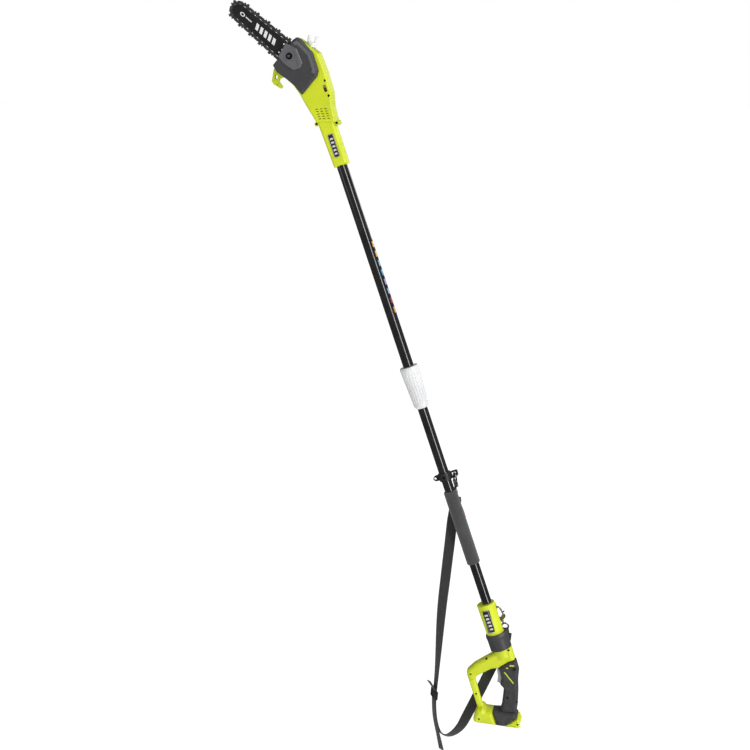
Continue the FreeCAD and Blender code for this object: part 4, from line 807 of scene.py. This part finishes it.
def sew(name, centres, edges, rows):
    """Stitches on both faces in rows of (start, end, offset): two distances along and one across."""
    grid = bmesh.new()
    distances = distances_along(centres)
    for start, end, offset in rows:
        count = max(int((end - start) / STITCH_PITCH), 1)
        for step in range(count):
            place = start + (end - start) * (step + 0.5) / count
            index = min(range(len(distances)), key=lambda i: abs(distances[i] - place))
            along, across, out = frame_of(centres, edges, index)
            slide = along * (place - distances[index])
            turn = Matrix((across, along, out)).transposed().to_4x4()
            for face in (-1, 1):
                spot = centres[index] + slide + across * offset + out * (face * STITCH_LIFT)
                made = len(grid.verts)
                grid.from_mesh(dash_mesh)
                grid.verts.ensure_lookup_table()
                bmesh.ops.transform(grid, matrix=Matrix.Translation(spot) @ turn, verts=grid.verts[made:])
    return new_piece(name, grid)


box_rows = [(0.004, 0.034, -0.0125), (0.004, 0.034, 0.0125), (0.018, 0.034, -0.0095), (0.018, 0.034, 0.0095)]
far_rows = [(strap_length - end, strap_length - start, offset) for start, end, offset in box_rows]
strap_seams = sew("strap_seams", strap_centres, strap_edges, box_rows + far_rows)
hem_rows = [(tail_length - 0.020, tail_length - 0.004, offset)
            for offset in (-0.012, -0.006, 0.0, 0.006, 0.012)]
tail_seam = sew("loose_end_hem", tail_centres, tail_edges, hem_rows)
print("stitches:", len(strap_seams.data.vertices) // len(dash_mesh.vertices), "on the strap")

# %% Thread
def thread_finish():
    finish = Finish("sewing_thread", {"Specular IOR Level": 0.35, "Sheen Weight": 0.2})
    ply = finish.noise(2400.0, 2.0)
    finish.bump(ply, 0.00008)
    colour = finish.mix(finish.between(ply, 0.35, 0.65), tone(0.030, 0.030, 0.031), tone(0.075, 0.075, 0.077))
    return finish.done(colour, finish.between(ply, 0.3, 0.7, 0.5, 0.7))


thread = thread_finish()
for seam in (strap_seams, tail_seam):
    give(seam, thread, HANDLE)

# %% [markdown]
# ### Foam fore grip
# The sleeve is a thick foam tube pushed on to the pole. Its ends are cut and rounded, and its outside
# swells and dips by a few tenths of a millimetre, as soft foam does. Its profile is extruded vertex
# by vertex and spun round the pole, which closes it on itself.

# %% A profile spun round the pole
def spun(name, profile, steps):
    """Closed ring of (radius, height) points in millimetres, spun round the pole's axis."""
    bpy.ops.object.select_all(action="DESELECT")
    bpy.ops.mesh.primitive_plane_add(size=0.001)
    piece = bpy.context.object
    piece.name = name
    bpy.ops.object.mode_set(mode="EDIT")
    bpy.ops.mesh.select_all(action="SELECT")
    bpy.ops.mesh.merge(type="CENTER")
    start = on_tool(profile[0][0], 0, profile[0][1])
    bpy.ops.transform.translate(value=start)
    here = start
    for radius, height in profile[1:] + profile[:1]:
        there = on_tool(radius, 0, height)
        bpy.ops.mesh.extrude_region_move(TRANSFORM_OT_translate={"value": there - here})
        here = there
    bpy.ops.mesh.select_all(action="SELECT")
    bpy.ops.mesh.remove_doubles(threshold=0.00001)
    bpy.ops.mesh.select_all(action="SELECT")
    bpy.ops.mesh.spin(steps=steps, angle=2 * math.pi, center=(0, 0, 0), axis=POLE)
    bpy.ops.mesh.select_all(action="SELECT")
    bpy.ops.mesh.remove_doubles(threshold=0.00001)
    bpy.ops.mesh.normals_make_consistent(inside=False)
    bpy.ops.object.mode_set(mode="OBJECT")
    return piece


def finish_edges(piece, width, angle=40):
    """Rounds the sharp edges with an applied bevel and shades the rest smooth."""
    bpy.ops.object.select_all(action="DESELECT")
    piece.select_set(True)
    bpy.context.view_layer.objects.active = piece
    if width:
        bevel = piece.modifiers.new("rounded_edges", "BEVEL")
        bevel.width = width
        bevel.segments = 3
        bevel.limit_method = "ANGLE"
        bevel.angle_limit = math.radians(angle)
        bpy.ops.object.modifier_apply(modifier=bevel.name)
    bpy.ops.object.shade_smooth_by_angle(angle=math.radians(angle))


# %% Foam sleeve
FOAM_OUTSIDE = [(19.0, -117.9), (19.9, -116.4), (20.2, -113.5), (20.25, -100), (20.3, -80), (20.2, -50),
                (20.35, -20), (20.4, 10), (20.25, 45), (20.35, 80), (20.25, 100), (20.2, 113.5), (19.9, 116.4),
                (19.0, 117.9)]
FOAM_BORE = [(15.6, 117.9), (15.08, 116.5), (15.08, -116.5)]
foam_sleeve = spun("foam_sleeve", [(15.6, -117.9)] + FOAM_OUTSIDE + FOAM_BORE, 72)
finish_edges(foam_sleeve, 0)
give(foam_sleeve, foam, HANDLE)
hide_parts("foam_grip")
print("foam sleeve:", len(foam_sleeve.data.polygons), "faces")

# %% [markdown]
# ### Coiled lead
# Inside the pole a coiled lead joins the trigger to the motor and stretches as the pole draws out. It
# is a helix wound round a straight line up the pole.

# %% Lead
LEAD_COIL_R = 0.0060
LEAD_R = 0.0016
LEAD_TURNS = 230
LEAD_STEPS = 14
LEAD_SIDES = 6


def coil(name, line):
    """Tube wound round a line of points."""
    start, end = line[0], line[-1]
    forward = (end - start).normalized()
    aside = Vector((0, 1, 0))
    other = forward.cross(aside)
    grid = bmesh.new()
    rings = []
    for step in range(LEAD_TURNS * LEAD_STEPS + 1):
        share = step / (LEAD_TURNS * LEAD_STEPS)
        angle = 2 * math.pi * step / LEAD_STEPS
        outward = aside * math.cos(angle) + other * math.sin(angle)
        centre = start.lerp(end, share) + outward * LEAD_COIL_R
        rings.append([])
        for side in range(LEAD_SIDES):
            around = 2 * math.pi * side / LEAD_SIDES
            spoke = outward * math.cos(around) + forward * math.sin(around)
            rings[-1].append(grid.verts.new(centre + spoke * LEAD_R))
    for first, second in zip(rings, rings[1:]):
        for side in range(LEAD_SIDES):
            following = (side + 1) % LEAD_SIDES
            grid.faces.new((first[side], first[following], second[following], second[side])).smooth = True
    grid.faces.new(rings[0])
    grid.faces.new(rings[-1])
    bmesh.ops.recalc_face_normals(grid, faces=grid.faces)
    return new_piece(name, grid)


lead_line = smooth_line("lead_line", [on_tool(0, 0, height) for height in (-298, 100, 500, 850, 1198)])
lead = coil("coiled_lead", lead_line)
lead.data.materials.append(lead_rubber)
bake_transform(lead)
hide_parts("power_lead")
print("lead:", len(lead.data.polygons), "faces")

# %% [markdown]
# ## Raised trim
# The sprocket cover has a raised band along its top and back edges, and the clamp plate a raised
# shoulder beside the nut. Each is a flat outline, extruded and bevelled, so it catches a line of light.

# %% Flat trim
def trim(name, corners, back, front, ease):
    """Outline of (x, z) corners in the tool's axes, extruded from back to front and eased."""
    bpy.ops.object.select_all(action="DESELECT")
    bpy.ops.mesh.primitive_circle_add(vertices=len(corners), radius=0.01, fill_type="NGON")
    piece = bpy.context.object
    piece.name = name
    for vertex, (x, z) in zip(piece.data.vertices, corners):
        vertex.co = on_tool(x, back, z)
    bpy.ops.object.mode_set(mode="EDIT")
    bpy.ops.mesh.select_all(action="SELECT")
    bpy.ops.mesh.extrude_region_move(TRANSFORM_OT_translate={"value": (0, (front - back) / 1000, 0)})
    bpy.ops.mesh.select_all(action="SELECT")
    bpy.ops.mesh.normals_make_consistent(inside=False)
    bpy.ops.object.mode_set(mode="OBJECT")
    finish_edges(piece, ease)
    return piece


# %% Cover band and clamp shoulder
COVER_BAND = [(-14.5, 1505.5), (-2.5, 1508.0), (3.2, 1501.5), (22.6, 1461.6), (22.6, 1413.0), (16.5, 1403.2),
              (9.0, 1411.0), (13.4, 1418.5), (13.6, 1458.2), (-3.4, 1493.6), (-9.5, 1497.0), (-12.0, 1496.5)]
cover_band = trim("cover_band", COVER_BAND, -35.8, -37.2, 0.0007)
give(cover_band, mid_grey, HEAD)

CLAMP_SHOULDER = [(-16.0, 1435.5), (-8.6, 1445.0), (-11.4, 1485.2), (-20.5, 1494.0), (-17.8, 1478.0),
                  (-16.2, 1461.0), (-23.0, 1444.5)]
clamp_shoulder = trim("clamp_shoulder", CLAMP_SHOULDER, -38.8, -39.9, 0.0005)
give(clamp_shoulder, mid_grey, HEAD)
print("trim made")
